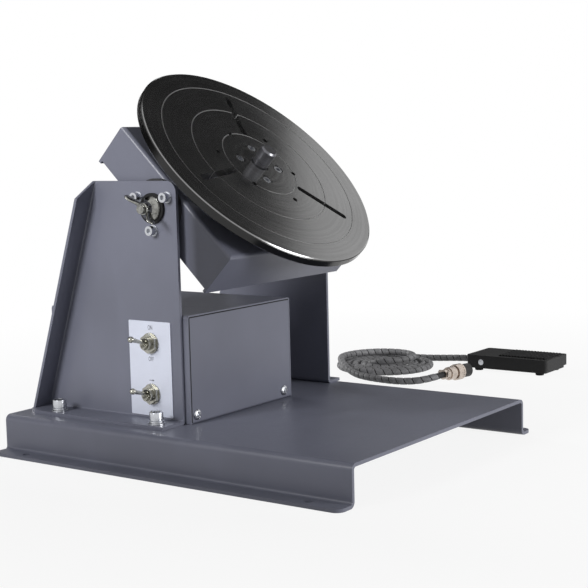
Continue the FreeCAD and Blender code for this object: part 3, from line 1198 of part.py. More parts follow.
def build_pedal():
    save("pedal_base", [pedal_base()])
    feet = []
    for x, y in pedal_foot_points():
        foot = Part.makeCone(PEDAL_FOOT_R * 0.85, PEDAL_FOOT_R, PEDAL_FOOT_H, V(x, y, 0), AXIS_Z)
        feet.append(foot.fuse(rod(V(x, y, PEDAL_FOOT_H), AXIS_Z, 1.55, PEDAL_SHEET)))
    save("pedal_feet", feet)
    half = PEDAL_WIDTH / 2 + RUN_FIT
    pin = rod(V(PIVOT_X, PEDAL_Y - half, PIVOT_Z), AXIS_Y, PIVOT_R, 2 * half)
    heads = [rod(V(PIVOT_X, PEDAL_Y + s * half, PIVOT_Z), AXIS_Y * s, PIVOT_R * 1.7, 1.1) for s in (-1, 1)]
    save("pedal_pivot_pin", [fuse([pin] + heads)])
    x = PEDAL_REAR_X + 48
    floor = PEDAL_FOOT_H + PEDAL_SHEET
    block = box(x, x + 20, PEDAL_Y + 6, PEDAL_Y + 12.5, floor, floor + 9)
    plunger = rod(V(x + 14, PEDAL_Y + 9.2, floor + 8), AXIS_Z, 1.2, 2.0)
    save("pedal_microswitch", [fuse([block, plunger])])
    save("pedal_spring", [pedal_spring()])
    save("treadle", [treadle()])
    save("treadle_pad", [treadle_pad()])
    start = V(BASE_REAR_X, PEDAL_Y, CORD_EXIT_Z)
    gland = rod(start, -AXIS_X, GLAND_R, GLAND_LENGTH)
    gland = gland.makeChamfer(0.8, [e for e in gland.Edges if isinstance(e.Curve, Part.Circle)
                                   and e.CenterOfMass.x < start.x - 1])
    neck = rod(start, AXIS_X, GLAND_R - 1.0, PEDAL_SHEET + 4)
    inner = ring(start + AXIS_X * PEDAL_SHEET, AXIS_X, GLAND_R, GLAND_R - 1.5, 1.8)
    save("pedal_gland", [fuse([gland, neck, inner])])


# ---------------------------------------------------------------- sleeved cord and plug
CORD_Z = CORD_R + 0.3
PLUG_Z = PLUG_RING_R + 0.2
LEAD_START_X = BASE_REAR_X - GLAND_LENGTH
COIL_TURN_R = COIL_R_OUT - CORD_R - 1.5     # middle line of the coil's outermost turn
LEAD_STEP = (LEAD_START_X - COIL_X) / 4.0
LEAD_ROUTE = [(LEAD_START_X - CORD_END_GAP, PEDAL_Y, CORD_EXIT_Z),
              (LEAD_START_X - LEAD_STEP, PEDAL_Y + 0.5, CORD_EXIT_Z - 1),
              (LEAD_START_X - 2 * LEAD_STEP, PEDAL_Y + 2.5, CORD_Z + 2),
              (LEAD_START_X - 3 * LEAD_STEP, COIL_Y + COIL_TURN_R + 1, CORD_Z + 0.5)]
# heading and length of each run from the coil towards the plug
TAIL_RUNS = ((-33.0, 26.0), (-24.0, 24.0), (-12.0, 25.0), (0.0, 24.0), (14.0, 18.0), (38.0, 13.0),
             (60.0, 12.0), (PLUG_TURN, 12.0))
TAIL_LIFTS = (0.6, 2.2, 4.0)            # fall below the plug's axis at the first points behind it


def tail_route():
    """Cord's middle line from the coil to the plug, walked back from the plug's cord end."""
    turn = math.radians(PLUG_TURN)
    x, y = PLUG_X - CORD_END_GAP * math.cos(turn), PLUG_Y - CORD_END_GAP * math.sin(turn)
    points = [(x, y, PLUG_Z)]
    falls = TAIL_LIFTS + (PLUG_Z,) * len(TAIL_RUNS)
    for (heading, run), fall in zip(reversed(TAIL_RUNS), falls):
        a = math.radians(heading)
        x, y = x - run * math.cos(a), y - run * math.sin(a)
        points.append((x, y, max(CORD_Z, PLUG_Z - fall)))
    return points[::-1]


def cord_tube(name, route, radius):
    """Round tube along straight runs joined by tangent arcs; prints its bend radii."""
    points = [V(*p) for p in route]
    edges, cursor, radii = [], points[0], []
    for a, b, c in zip(points, points[1:], points[2:]):
        before, after = (a - b), (c - b)
        turn = math.pi - before.getAngle(after)
        trim = 0.45 * min(before.Length, after.Length)
        arc_r = trim / math.tan(turn / 2)
        radii.append(round(arc_r, 1))
        d0, d1 = before.normalize(), after.normalize()
        start, end = b + d0 * trim, b + d1 * trim
        bisector = (d0 + d1).normalize()
        centre = b + bisector * (arc_r / math.cos(turn / 2))
        edges.append(Part.LineSegment(cursor, start).toShape())
        edges.append(Part.Arc(start, centre - bisector * arc_r, end).toShape())
        cursor = end
    edges.append(Part.LineSegment(cursor, points[-1]).toShape())
    spine = Part.Wire(edges)
    heading = (points[1] - points[0]).normalize()
    section = Part.Wire(Part.makeCircle(radius, points[0], heading))
    tube = spine.makePipeShell([section], True, True)
    if tube.Volume < 0:
        tube.reverse()
    print(name, "length", round(spine.Length, 1), "bend radii", radii,
          "volume ratio", round(tube.Volume / (math.pi * radius ** 2 * spine.Length), 3))
    save(name, [tube])


def plug_place(shape):
    """From the plug's own frame (origin at its cord end, X along it) to the floor by the base."""
    copy = shape.copy()
    place = FreeCAD.Placement(V(PLUG_X, PLUG_Y, PLUG_Z), FreeCAD.Rotation(AXIS_Z, PLUG_TURN))
    copy.Placement = place.multiply(copy.Placement)
    return copy


def build_cord():
    cord_tube("pedal_cord_lead", LEAD_ROUTE, CORD_R)
    coil = ring(V(COIL_X, COIL_Y, 0.3), AXIS_Z, COIL_R_OUT, COIL_R_IN, COIL_HEIGHT)
    save("pedal_cord_coil", [coil])
    cord_tube("pedal_cord_tail", tail_route(), CORD_R)
    origin = V(0, 0, 0)
    clamp = rod(origin, AXIS_X, 5.6, 6.0).fuse(box(0.5, 5.5, -7.6, 7.6, -2.2, 1.2))
    saddle = box(0.5, 5.5, -7.6, 7.6, 1.4, 3.4).cut(rod(V(-1, 0, 0), AXIS_X, 5.7, 9))
    screws = [button_screw(V(3, s * 6.5, 3.4), AXIS_Z, 1.0, 5.0) for s in (-1, 1)]
    screw_holes = [rod(V(3, s * 6.5, -3), AXIS_Z, 1.0 + RUN_FIT, 12) for s in (-1, 1)]
    clamp, saddle = carve(clamp, screw_holes), carve(saddle, screw_holes)
    save("plug_cord_clamp", [plug_place(s) for s in [clamp, saddle] + screws])
    body = fuse([rod(V(6, 0, 0), AXIS_X, 6.4, 3), rod(V(9, 0, 0), AXIS_X, PLUG_BODY_R, 9),
                 rod(V(18, 0, 0), AXIS_X, 6.2, 14)])
    save("plug_body", [plug_place(body)])
    sleeve = ring(V(20, 0, 0), AXIS_X, PLUG_RING_R, 6.2 + RUN_FIT, 11)
    sleeve = sleeve.makeChamfer(0.6, [e for e in sleeve.Edges if isinstance(e.Curve, Part.Circle)
                                      and e.Curve.Radius > PLUG_RING_R - 0.1])
    flutes = [rod(V(22.5, 0, 0) + V(0, math.cos(a), math.sin(a)) * (PLUG_RING_R + 0.35), AXIS_X, 0.75, 6)
              for a in (2 * math.pi * k / 20 for k in range(20))]
    save("plug_coupling_ring", [plug_place(carve(sleeve, flutes))])
    tip = rod(V(32, 0, 0), AXIS_X, PLUG_TIP_R, 12)
    recess = rod(V(42.5, 0, 0), AXIS_X, PLUG_TIP_R - 2, 3)
    contacts = [rod(V(36, p.x, p.y), AXIS_X, 0.8, 8) for p in (polar(3.6, 120 * k) for k in range(3))]
    save("plug_insert", [plug_place(carve(tip, [recess] + contacts))])


os.makedirs("parts", exist_ok=True)
build_frame()
build_trunnions()
build_head()
build_faceplate()
build_box()
build_switches()
build_pedal()
build_cord()
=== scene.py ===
"""Looks of the bench welding positioner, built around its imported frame.

Lengths are metres, +Z up, in the frame's own axes: the base's long bends run along X, the tilt
clamp and the switches face -Y, and the faceplate tips towards +X.
"""

from __future__ import annotations

import logging
import math
from dataclasses import dataclass, field
from enum import Enum

import bpy
import numpy as np
from mathutils import Matrix, Vector


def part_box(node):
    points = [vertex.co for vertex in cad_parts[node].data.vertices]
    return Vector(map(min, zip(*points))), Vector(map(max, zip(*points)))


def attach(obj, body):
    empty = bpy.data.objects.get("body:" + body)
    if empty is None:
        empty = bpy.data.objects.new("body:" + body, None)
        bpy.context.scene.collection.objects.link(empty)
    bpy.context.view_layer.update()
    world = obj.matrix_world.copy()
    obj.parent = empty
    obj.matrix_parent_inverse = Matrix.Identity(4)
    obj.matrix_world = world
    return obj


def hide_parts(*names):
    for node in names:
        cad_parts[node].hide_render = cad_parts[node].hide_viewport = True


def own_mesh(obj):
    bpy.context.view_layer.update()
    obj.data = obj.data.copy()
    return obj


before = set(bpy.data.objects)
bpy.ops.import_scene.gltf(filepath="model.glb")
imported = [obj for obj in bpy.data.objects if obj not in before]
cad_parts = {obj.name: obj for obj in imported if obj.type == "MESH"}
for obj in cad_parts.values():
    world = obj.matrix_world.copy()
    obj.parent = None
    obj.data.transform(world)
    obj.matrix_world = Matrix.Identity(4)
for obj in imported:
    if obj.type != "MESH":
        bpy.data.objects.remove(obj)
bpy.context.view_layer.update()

MM = 0.001
SHARP_EDGE = 35.0  # degrees between two faces past which their edge isn't smoothed
Triple = tuple[float, float, float]
Profile = tuple[tuple[float, float], ...]
Surface = tuple[np.ndarray, list[list[int]]]
log = logging.getLogger("positioner")


# ------------------------------------------------------------------ shader expressions


def srgb(red: float, green: float, blue: float) -> tuple[float, float, float, float]:
    """Turns a display colour, 0 to 255, into the linear colour that a shader takes.

    Args:
        red, green, blue: display values.

    Returns:
        Linear red, green, blue and a full alpha.
    """
    steps = (c / 255 for c in (red, green, blue))
    linear = [c / 12.92 if c <= 0.04045 else ((c + 0.055) / 1.055) ** 2.4 for c in steps]
    return linear[0], linear[1], linear[2], 1.0


@dataclass(frozen=True)
class Value:
    """A number socket that Python's operators work on.

    Args:
        sheet: the nodes that new Math nodes join.
        socket: the node output that carries the number.
    """

    sheet: "NodeSheet"
    socket: bpy.types.NodeSocket

    def _math(self, operation: str, *numbers: object) -> "Value":
        """Adds one Math node for an operation on one or two numbers."""
        return self.sheet.add("ShaderNodeMath", {"operation": operation}, dict(enumerate(numbers)))

    def __add__(self, other: object) -> "Value":
        """Sum."""
        return self._math("ADD", self, other)

    __radd__ = __add__

    def __mul__(self, other: object) -> "Value":
        """Product."""
        return self._math("MULTIPLY", self, other)

    __rmul__ = __mul__

    def __sub__(self, other: object) -> "Value":
        """Difference."""
        return self._math("SUBTRACT", self, other)

    def __rsub__(self, other: object) -> "Value":
        """Difference, the other way round."""
        return self._math("SUBTRACT", other, self)

    def __gt__(self, other: object) -> "Value":
        """1 where this is the larger, and 0 elsewhere."""
        return self._math("GREATER_THAN", self, other)

    def __lt__(self, other: object) -> "Value":
        """1 where this is the smaller, and 0 elsewhere."""
        return self._math("LESS_THAN", self, other)

    def __abs__(self) -> "Value":
        """Size without its sign."""
        return self._math("ABSOLUTE", self)

    def root(self) -> "Value":
        """Square root."""
        return self._math("SQRT", self)

    def or_more(self, other: object) -> "Value":
        """The larger of two numbers."""
        return self._math("MAXIMUM", self, other)

    def between(self, low: float, high: float) -> "Value":
        """A smooth step: 0 below low, 1 above high.

        Args:
            low, high: where the step starts and ends.

        Returns:
            The step.
        """
        return self.sheet.add(
            "ShaderNodeMapRange",
            {"interpolation_type": "SMOOTHSTEP"},
            {"Value": self, "From Min": low, "From Max": high},
        )


class NodeSheet:
    """The nodes of a material or of the surroundings, empty at first.

    Args:
        tree: the node tree that they are in.
    """

    def __init__(self, tree: bpy.types.NodeTree) -> None:
        """Clears the tree."""
        self.nodes = tree.nodes
        self.links = tree.links
        self.nodes.clear()

    def add(
        self,
        kind: str,
        settings: dict[str, object],
        inputs: dict[object, object],
        output: object = 0,
    ) -> Value:
        """Adds a node: its settings first, then the values or links of its sockets.

        Args:
            kind: the node's type.
            settings: attributes such as a Math node's operation.
            inputs: socket name or number to a value or to another node's output.
            output: name or number of the output to hand back.

        Returns:
            That output.
        """
        node = self.nodes.new(kind)
        for key, value in settings.items():
            setattr(node, key, value)
        for key, value in inputs.items():
            self.feed(node, key, value)
        return Value(self, node.outputs[output])

    def feed(self, node: bpy.types.Node, key: object, value: object) -> None:
        """Links a Value to a node's socket, or sets the socket to a plain value.

        Args:
            node: the node that takes it.
            key: name or number of the node's socket.
            value: what goes in.
        """
        if isinstance(value, Value):
            self.links.new(value.socket, node.inputs[key])
        else:
            node.inputs[key].default_value = value

    def show(self, kind: str, surface: Value) -> None:
        """Adds the output node of a kind and links the finished surface to it."""
        self.feed(self.nodes.new(kind), "Surface", surface)


class Graph(NodeSheet):
    """A material's nodes round one Principled shader.

    Args:
        name: the material's name.
        constants: shader socket values that are the same all over the surface.
    """

    def __init__(self, name: str, constants: dict[str, object]) -> None:
        """Makes the material with its shader."""
        self.material = bpy.data.materials.new(name)
        self.material.use_nodes = True
        super().__init__(self.material.node_tree)
        surface = self.add("ShaderNodeBsdfPrincipled", {}, constants)
        self.shader = surface.socket.node
        self.show("ShaderNodeOutputMaterial", surface)

    def drive(self, key: str, value: object) -> None:
        """Feeds one of the shader's own sockets."""
        self.feed(self.shader, key, value)

    def place(self, centre: object = (0, 0, 0), turn: object = (0, 0, 0)) -> Value:
        """Object coordinates about a centre, turned to a part's own axes.

        Args:
            centre: the part's own origin.
            turn: Euler angles from the frame's axes to the part's.

        Returns:
            Coordinates in the part's axes.
        """
        spot = self.add("ShaderNodeTexCoord", {}, {}, "Object")
        return self.add(
            "ShaderNodeMapping",
            {"vector_type": "TEXTURE"},
            {"Vector": spot, "Location": tuple(centre), "Rotation": tuple(turn)},
        )

    def split(self, vector: Value) -> tuple[Value, Value, Value]:
        """The three parts of a vector."""
        node = self.add("ShaderNodeSeparateXYZ", {}, {0: vector}).socket.node
        return tuple(Value(self, out) for out in node.outputs)

    def stretch(self, vector: Value, factors: Triple) -> Value:
        """A vector with each part multiplied by its own factor."""
        return self.add("ShaderNodeVectorMath", {"operation": "MULTIPLY"}, {0: vector, 1: factors})

    def noise(self, vector: Value, scale: float, detail: float = 2.0) -> Value:
        """Cloudy noise from 0 to 1.

        Args:
            vector: where it is read.
            scale: lumps per metre.
            detail: layers of finer noise.

        Returns:
            The noise.
        """
        return self.add(
            "ShaderNodeTexNoise", {}, {"Vector": vector, "Scale": scale, "Detail": detail}
        )

    def lines(self, along: Value, scale: float, detail: float = 2.0) -> Value:
        """Noise that changes along one number alone, such as turning or rolling marks.

        Args:
            along: the number.
            scale: marks per metre.
            detail: layers of finer marks.

        Returns:
            The noise, from 0 to 1.
        """
        return self.add(
            "ShaderNodeTexNoise",
            {"noise_dimensions": "1D"},
            {"W": along, "Scale": scale, "Detail": detail},
        )

    def mix(self, factor: object, first: object, second: object) -> Value:
        """A colour between two colours.

        Args:
            factor: 0 gives the first, 1 the second.
            first, second: colours.

        Returns:
            The mixed colour.
        """
        return self.add(
            "ShaderNodeMix", {"data_type": "RGBA"}, {0: factor, 6: first, 7: second}, 2
        )

    def bump(self, height: Value, depth: float, strength: float = 1.0) -> None:
        """Gives the shader a normal from a height.

        Args:
            height: the relief, from 0 to 1.
            depth: how deep 1 is, in metres.
            strength: how much of it shows.
        """
        normal = self.add(
            "ShaderNodeBump", {}, {"Height": height, "Distance": depth, "Strength": strength}
        )
        self.drive("Normal", normal)


# ------------------------------------------------------------------ finishes


@dataclass(frozen=True)
class Finish:
    """A finish that pieces are dressed in.

    Args:
        name: the material's name.
        colour: display colour, 0 to 255.
        roughness: mean roughness.
    """

    name: str
    colour: Triple
    roughness: float

    def graph(self, **constants: object) -> Graph:
        """Starts the finish's graph with the shader's constant values."""
        return Graph(self.name, constants)

    def shade(self, factor: float) -> tuple[float, float, float, float]:
        """The finish's colour, lighter or darker by a factor on its display values."""
        return srgb(*(min(255.0, c * factor) for c in self.colour))

    def build(self) -> bpy.types.Material:
        """Makes the material."""
        raise NotImplementedError


@dataclass(frozen=True)
class Powder(Finish):
    """Powder coat: soft orange-peel relief, faint clouds of shade, handling haze.

    Args:
        peel: depth of the orange peel in metres.
        gloss: specular level.
    """

    peel: float = 0.00002
    gloss: float = 0.5

    def build(self) -> bpy.types.Material:
        """Makes the material."""
        g = self.graph(**{"Specular IOR Level": self.gloss})
        spot = g.place()
        clouds = g.noise(spot, 9.0, 3.0)
        grain = g.noise(spot, 620.0, 2.0)
        haze = g.noise(g.stretch(spot, (1.0, 1.0, 0.35)), 38.0, 4.0).between(0.5, 0.75)
        base = g.mix(clouds.between(0.3, 0.7), self.shade(0.965), self.shade(1.035))
        g.drive("Base Color", g.mix(haze * 0.22, base, self.shade(1.1)))
        g.drive("Roughness", self.roughness + (grain - 0.5) * 0.12 + haze * 0.05)
        g.bump(grain, self.peel, 0.6)
        return g.material


@dataclass(frozen=True)
class Plated(Finish):
    """Plated metal: bright, with faint drawn lines and dulled patches.

    Args:
        patch: how much darker the dulled patches are.
    """

    patch: float = 0.86

    def build(self) -> bpy.types.Material:
        """Makes the material."""
        g = self.graph(Metallic=1.0)
        spot = g.place()
        dull = g.noise(spot, 260.0, 3.0).between(0.42, 0.7)
        fine = g.noise(g.stretch(spot, (1.0, 1.0, 6.0)), 1400.0, 1.0)
        g.drive("Base Color", g.mix(dull, self.shade(1.0), self.shade(self.patch)))
        g.drive("Roughness", self.roughness + dull * 0.12 + (fine - 0.5) * 0.08)
        g.bump(fine, 0.000004, 0.5)
        return g.material


@dataclass(frozen=True)
class Turned(Finish):
    """Metal turned on a lathe: fine rings round an axis over coarser ones, and faint stains.

    Args:
        centre: a point on the axis.
        turn: Euler angles that lay the Z axis along it.
        light: how much lighter the ring tops are than the colour.
        metal: metallic amount.
        groove: depth of the rings in metres.
        gloss: specular level.
    """

    centre: Triple = (0.0, 0.0, 0.0)
    turn: Triple = (0.0, 0.0, 0.0)
    light: float = 1.3
    metal: float = 1.0
    groove: float = 0.00001
    gloss: float = 0.5

    def build(self) -> bpy.types.Material:
        """Makes the material."""
        g = self.graph(**{"Metallic": self.metal, "Specular IOR Level": self.gloss})
        spot = g.place(self.centre, self.turn)
        x, y, z = g.split(spot)
        radius = (x * x + y * y).root()
        fine = g.lines(radius + z * 0.5, 2600.0, 2.0)
        coarse = g.lines(radius + z * 0.5, 420.0, 3.0)
        stain = g.noise(spot, 26.0, 4.0)
        rings = fine * 0.6 + coarse * 0.4
        tone = (rings * 0.6 + stain * 0.4).between(0.3, 0.7)
        g.drive("Base Color", g.mix(tone, self.shade(1.0), self.shade(self.light)))
        g.drive("Roughness", self.roughness + (stain - 0.5) * 0.14 + (coarse - 0.5) * 0.08)
        g.bump(rings, self.groove, 0.7)
        return g.material


@dataclass(frozen=True)
class Moulded(Finish):
    """Moulded plastic or rubber: fine spark grain, a little dust in the shade.

    Args:
        grain: depth of the grain in metres.
        gloss: specular level.
    """

    grain: float = 0.00003
    gloss: float = 0.4

    def build(self) -> bpy.types.Material:
        """Makes the material."""
        g = self.graph(**{"Specular IOR Level": self.gloss})
        spot = g.place()
        spark = g.noise(spot, 1500.0, 1.5)
        dust = g.noise(spot, 90.0, 4.0).between(0.48, 0.8)
        g.drive("Base Color", g.mix(dust, self.shade(1.0), self.shade(1.28)))
        g.drive("Roughness", self.roughness + (spark - 0.5) * 0.2)
        g.bump(spark, self.grain, 0.5)
        return g.material


@dataclass(frozen=True)
class BrushedPlate(Finish):
    """Anodised label plate with long fine brush lines along X."""

    def build(self) -> bpy.types.Material:
        """Makes the material."""
        g = self.graph(Metallic=0.15)
        spot = g.place()
        brush = g.noise(g.stretch(spot, (0.04, 1.0, 1.0)), 2600.0, 2.0)
        smear = g.noise(spot, 60.0, 3.0)
        tone = brush * 0.6 + smear * 0.4
        g.drive("Base Color", g.mix(tone, self.shade(0.96), self.shade(1.03)))
        g.drive("Roughness", self.roughness + (brush - 0.5) * 0.2)
        g.bump(brush, 0.000006, 0.4)
        return g.material


@dataclass(frozen=True)
class Sleeving(Finish):
    """Spiral wrap of grey plastic: lighter and darker clouds, scuffed and rubbed."""

    def build(self) -> bpy.types.Material:
        """Makes the material."""
        g = self.graph(**{"Specular IOR Level": 0.35})
        spot = g.place()
        scuff = g.noise(spot, 420.0, 4.0)
        cloud = g.noise(spot, 45.0, 2.0)
        tone = (scuff * 0.55 + cloud * 0.45).between(0.32, 0.68)
        g.drive("Base Color", g.mix(tone, self.shade(0.84), self.shade(1.16)))
        g.drive("Roughness", self.roughness + (scuff - 0.5) * 0.25)
        g.bump(scuff, 0.00005, 0.5)
        return g.material


@dataclass(frozen=True)
class SwitchShell(Finish):
    """A switch's moulded body behind the panel and its plated threaded bush in front of it.

    Args:
        panel: where the bush begins, along Y, in metres.
        bush: display colour of the bush.
    """

    panel: float = 0.0
    bush: Triple = (164, 163, 156)

    def build(self) -> bpy.types.Material:
        """Makes the material."""
        g = self.graph()
        spot = g.place()
        _, depth, _ = g.split(spot)
        front = depth < self.panel
        grain = g.noise(spot, 900.0, 2.0)
        moulded = g.mix(grain, self.shade(0.9), self.shade(1.1))
        plated = g.mix(grain, srgb(*self.bush), srgb(*(0.85 * c for c in self.bush)))
        g.drive("Base Color", g.mix(front, moulded, plated))
        g.drive("Metallic", front)
        g.drive("Roughness", self.roughness - front * 0.16 + (grain - 0.5) * 0.1)
        g.bump(grain, 0.00001, 0.5)
        return g.material


@dataclass(frozen=True)
class PlateFace(Finish):
    """Turned and blackened steel plate: fine turning rings, engraved lines, painted shade on the
    edge.

    Args:
        centre: a point on the plate's axis.
        turn: Euler angles that lay the Z axis along it.
        engraved: radii of the engraved lines in metres.
        painted_shade_radius: radius past which the edge carries painted shade.
        line: half an engraved line's width in metres.
    """

    centre: Triple = (0.0, 0.0, 0.0)
    turn: Triple = (0.0, 0.0, 0.0)
    engraved: tuple[float, ...] = (0.0403, 0.073, 0.104)
    painted_shade_radius: float = 0.1243
    line: float = 0.0005

    def build(self) -> bpy.types.Material:
        """Makes the material."""
        g = self.graph(Metallic=0.91)
        spot = g.place(self.centre, self.turn)
        x, y, z = g.split(spot)
        radius = (x * x + y * y).root()
        fine = g.lines(radius + z * 0.5, 3000.0, 1.0)
        coarse = g.lines(radius + z * 0.5, 300.0, 3.0)
        stain = g.noise(spot, 18.0, 4.0)
        first, *others = (abs(radius - r) < self.line for r in self.engraved)
        cut = sum(others, first)
        tone = (coarse * 0.5 + stain * 0.5).between(0.3, 0.7)
        base = g.mix(tone, self.shade(0.94), self.shade(1.06))
        face = g.mix(cut, base, self.shade(1.25))
        # painted shade: past this radius the plate's edge is darkened to 0.42 of its colour
        g.drive("Base Color", g.mix(radius > self.painted_shade_radius, face, self.shade(0.42)))
        marks = (stain - 0.5) * 0.1 + (coarse - 0.5) * 0.05 + cut * 0.3
        g.drive("Roughness", self.roughness + marks)
        g.bump(fine * 0.5 + coarse * 0.5, 0.00001, 0.7)
        return g.material


@dataclass(frozen=True)
class BoardGreen(Finish):
    """Circuit board: green lacquer with lighter runs in it, grey parts above its face.

    Args:
        face: height of the board's top face in metres.
    """

    face: float = 0.0

    def build(self) -> bpy.types.Material:
        """Makes the material."""
        g = self.graph(**{"Specular IOR Level": 0.5})
        spot = g.place()
        _, _, height = g.split(spot)
        run = g.noise(g.stretch(spot, (1.0, 0.2, 1.0)), 500.0, 1.0).between(0.55, 0.6)
        lacquer = g.mix(run, self.shade(1.0), self.shade(1.5))
        parts = g.mix(g.noise(spot, 120.0), srgb(70, 72, 76), srgb(120, 122, 126))
        g.drive("Base Color", g.mix(height > self.face, lacquer, parts))
        g.drive("Roughness", self.roughness + run * 0.1)
        return g.material


# ------------------------------------------------------------------ meshes


def unit(vectors: np.ndarray) -> np.ndarray:
    """Vectors divided by their own lengths."""
    return vectors / np.linalg.norm(vectors, axis=-1, keepdims=True)


def full_turn(sides: int) -> np.ndarray:
    """Even angles round a circle, in radians."""
    return 2 * math.pi * np.arange(sides) / sides


def read_points(mesh: bpy.types.Mesh) -> np.ndarray:
    """A mesh's points, one per row."""
    points = np.zeros(len(mesh.vertices) * 3)
    mesh.vertices.foreach_get("co", points)
    return points.reshape(-1, 3)


def make_piece(name: str, points: np.ndarray, faces: list[list[int]]) -> bpy.types.Object:
    """Puts points and faces into a new smooth-shaded mesh object at the origin.

    Args:
        name: the piece's name.
        points: its points in the frame.
        faces: point numbers of each face, anticlockwise as seen from outside.

    Returns:
        The new object, smooth but for edges sharper than SHARP_EDGE.
    """
    mesh = bpy.data.meshes.new(name)
    mesh.from_pydata(points.reshape(-1, 3).tolist(), [], faces)
    mesh.polygons.foreach_set("use_smooth", np.ones(len(mesh.polygons), bool))
    mesh.set_sharp_from_angle(angle=math.radians(SHARP_EDGE))
    piece = bpy.data.objects.new(name, mesh)
    bpy.context.scene.collection.objects.link(piece)
    return piece


def closed(rings: np.ndarray, loop: bool = False) -> Surface:
    """A surface through rings of points, without an open edge.

    Args:
        rings: rings by points by 3; each ring goes once round the piece.
        loop: whether the last ring joins the first; else both ends get a flat face.

    Returns:
        The points, and a quad between each two neighbours on each two rings, found from their
        row and column numbers.
    """
    rows, columns = rings.shape[:2]
    i, j = np.meshgrid(np.arange(rows if loop else rows - 1), np.arange(columns), indexing="ij")
    i, j = i.ravel(), j.ravel()
    i1, j1 = (i + 1) % rows, (j + 1) % columns
    corners = [i * columns + j, i * columns + j1, i1 * columns + j1, i1 * columns + j]
    faces = np.stack(corners, 1).tolist()
    if not loop:
        last = (rows - 1) * columns
        faces += [list(range(columns))[::-1], list(range(last, last + columns))]
    return rings, faces


def joined(name: str, parts: list[Surface]) -> bpy.types.Object:
    """One piece of several closed surfaces.

    Args:
        name: the piece's name.
        parts: points and faces of each surface.

    Returns:
        The piece.
    """
    offset, points, faces = 0, [], []
    for part_points, part_faces in parts:
        flat = part_points.reshape(-1, 3)
        points.append(flat)
        faces += [[k + offset for k in face] for face in part_faces]
        offset += len(flat)
    return make_piece(name, np.concatenate(points), faces)


def turned_rings(profile: Profile, sides: int = 72) -> np.ndarray:
    """Rings of a profile in millimetres (radius, height) carried round the Z axis.

    Args:
        profile: its corners in order.
        sides: points round the axis.

    Returns:
        One row of points per corner, in metres.
    """
    shape = np.array(profile, float) * MM
    return round_rings(shape[:, :1], shape[:, 1:], full_turn(sides))


def round_rings(radius: np.ndarray, height: np.ndarray, angle: np.ndarray) -> np.ndarray:
    """Points at a radius, an angle and a height about the Z axis.

    Args:
        radius, height: one row per ring.
        angle: one column per point of a ring.

    Returns:
        The cosine and sine of the angle times the radius, and the height.
    """
    return np.stack([radius * np.cos(angle), radius * np.sin(angle), height + 0 * angle], -1)


def aimed(points: np.ndarray, origin: object, axis: object, spin: float = 0.0) -> np.ndarray:
    """Points with their Z axis laid along an axis and their origin moved.

    Args:
        points: in the part's own axes.
        origin: where the part's origin goes.
        axis: the direction its Z takes.
        spin: turn about its own Z first, in radians.

    Returns:
        The points in the frame.
    """
    turn = Vector(axis).to_track_quat("Z", "Y").to_matrix() @ Matrix.Rotation(spin, 3, "Z")
    return points @ np.array(turn).T + np.array(origin)


def dress(piece: bpy.types.Object, material: bpy.types.Material) -> None:
    """Gives a piece or a CAD node one material.

    Args:
        piece: what is dressed.
        material: what it wears, in every slot that it has.
    """
    if piece.material_slots:
        for material_slot in piece.material_slots:
            material_slot.material = material
    else:
        piece.data.materials.append(material)


# ------------------------------------------------------------------ what the sub-assemblies share


class Coat(Enum):
    """The finishes, by what they are on."""

    FRAME = Powder("slate_powder_coat", (103, 105, 118), 0.34, gloss=0.4)
    PEDAL = Powder("black_pedal_coat", (25, 25, 26), 0.45, gloss=0.25)
    ZINC = Plated("bright_zinc", (192, 194, 199), 0.24, patch=0.92)
    CHROME = Plated("satin_chrome", (150, 150, 146), 0.17, patch=0.76)
    NICKEL = Plated("warm_nickel", (202, 190, 180), 0.22, patch=0.84)
    SWITCH_NICKEL = Plated("switch_nickel", (166, 165, 157), 0.2, patch=0.82)
    STEEL = Turned("machined_steel", (150, 151, 154), 0.34, light=1.18)
    OXIDE = Moulded("black_oxide", (34, 34, 36), 0.38, grain=0.00001)
    PLASTIC = Moulded("black_plastic", (27, 27, 28), 0.5)
    SWITCH = SwitchShell("switch_shell", (74, 40, 34), 0.42, panel=-0.1005)
    RUBBER = Moulded("black_rubber", (26, 26, 27), 0.72, gloss=0.2)
    LABEL = BrushedPlate("label_plate", (205, 209, 223), 0.42)
    PRINT = Moulded("label_print", (72, 73, 82), 0.6, grain=0.000004)
    SLEEVE = Sleeving("spiral_wrap", (122, 122, 124), 0.55)
    CABLE = Moulded("cable_jacket", (20, 20, 21), 0.6)


class Wardrobe:
    """Makes each finish's material once and hands it out."""

    def __init__(self) -> None:
        """Starts with nothing made."""
        self.made: dict[str, bpy.types.Material] = {}

    def get(self, finish: Finish) -> bpy.types.Material:
        """The material of a finish.

        Args:
            finish: the finish.

        Returns:
            Its material, made when it is first asked for.
        """
        if finish.name not in self.made:
            self.made[finish.name] = finish.build()
        return self.made[finish.name]


WARDROBE = Wardrobe()


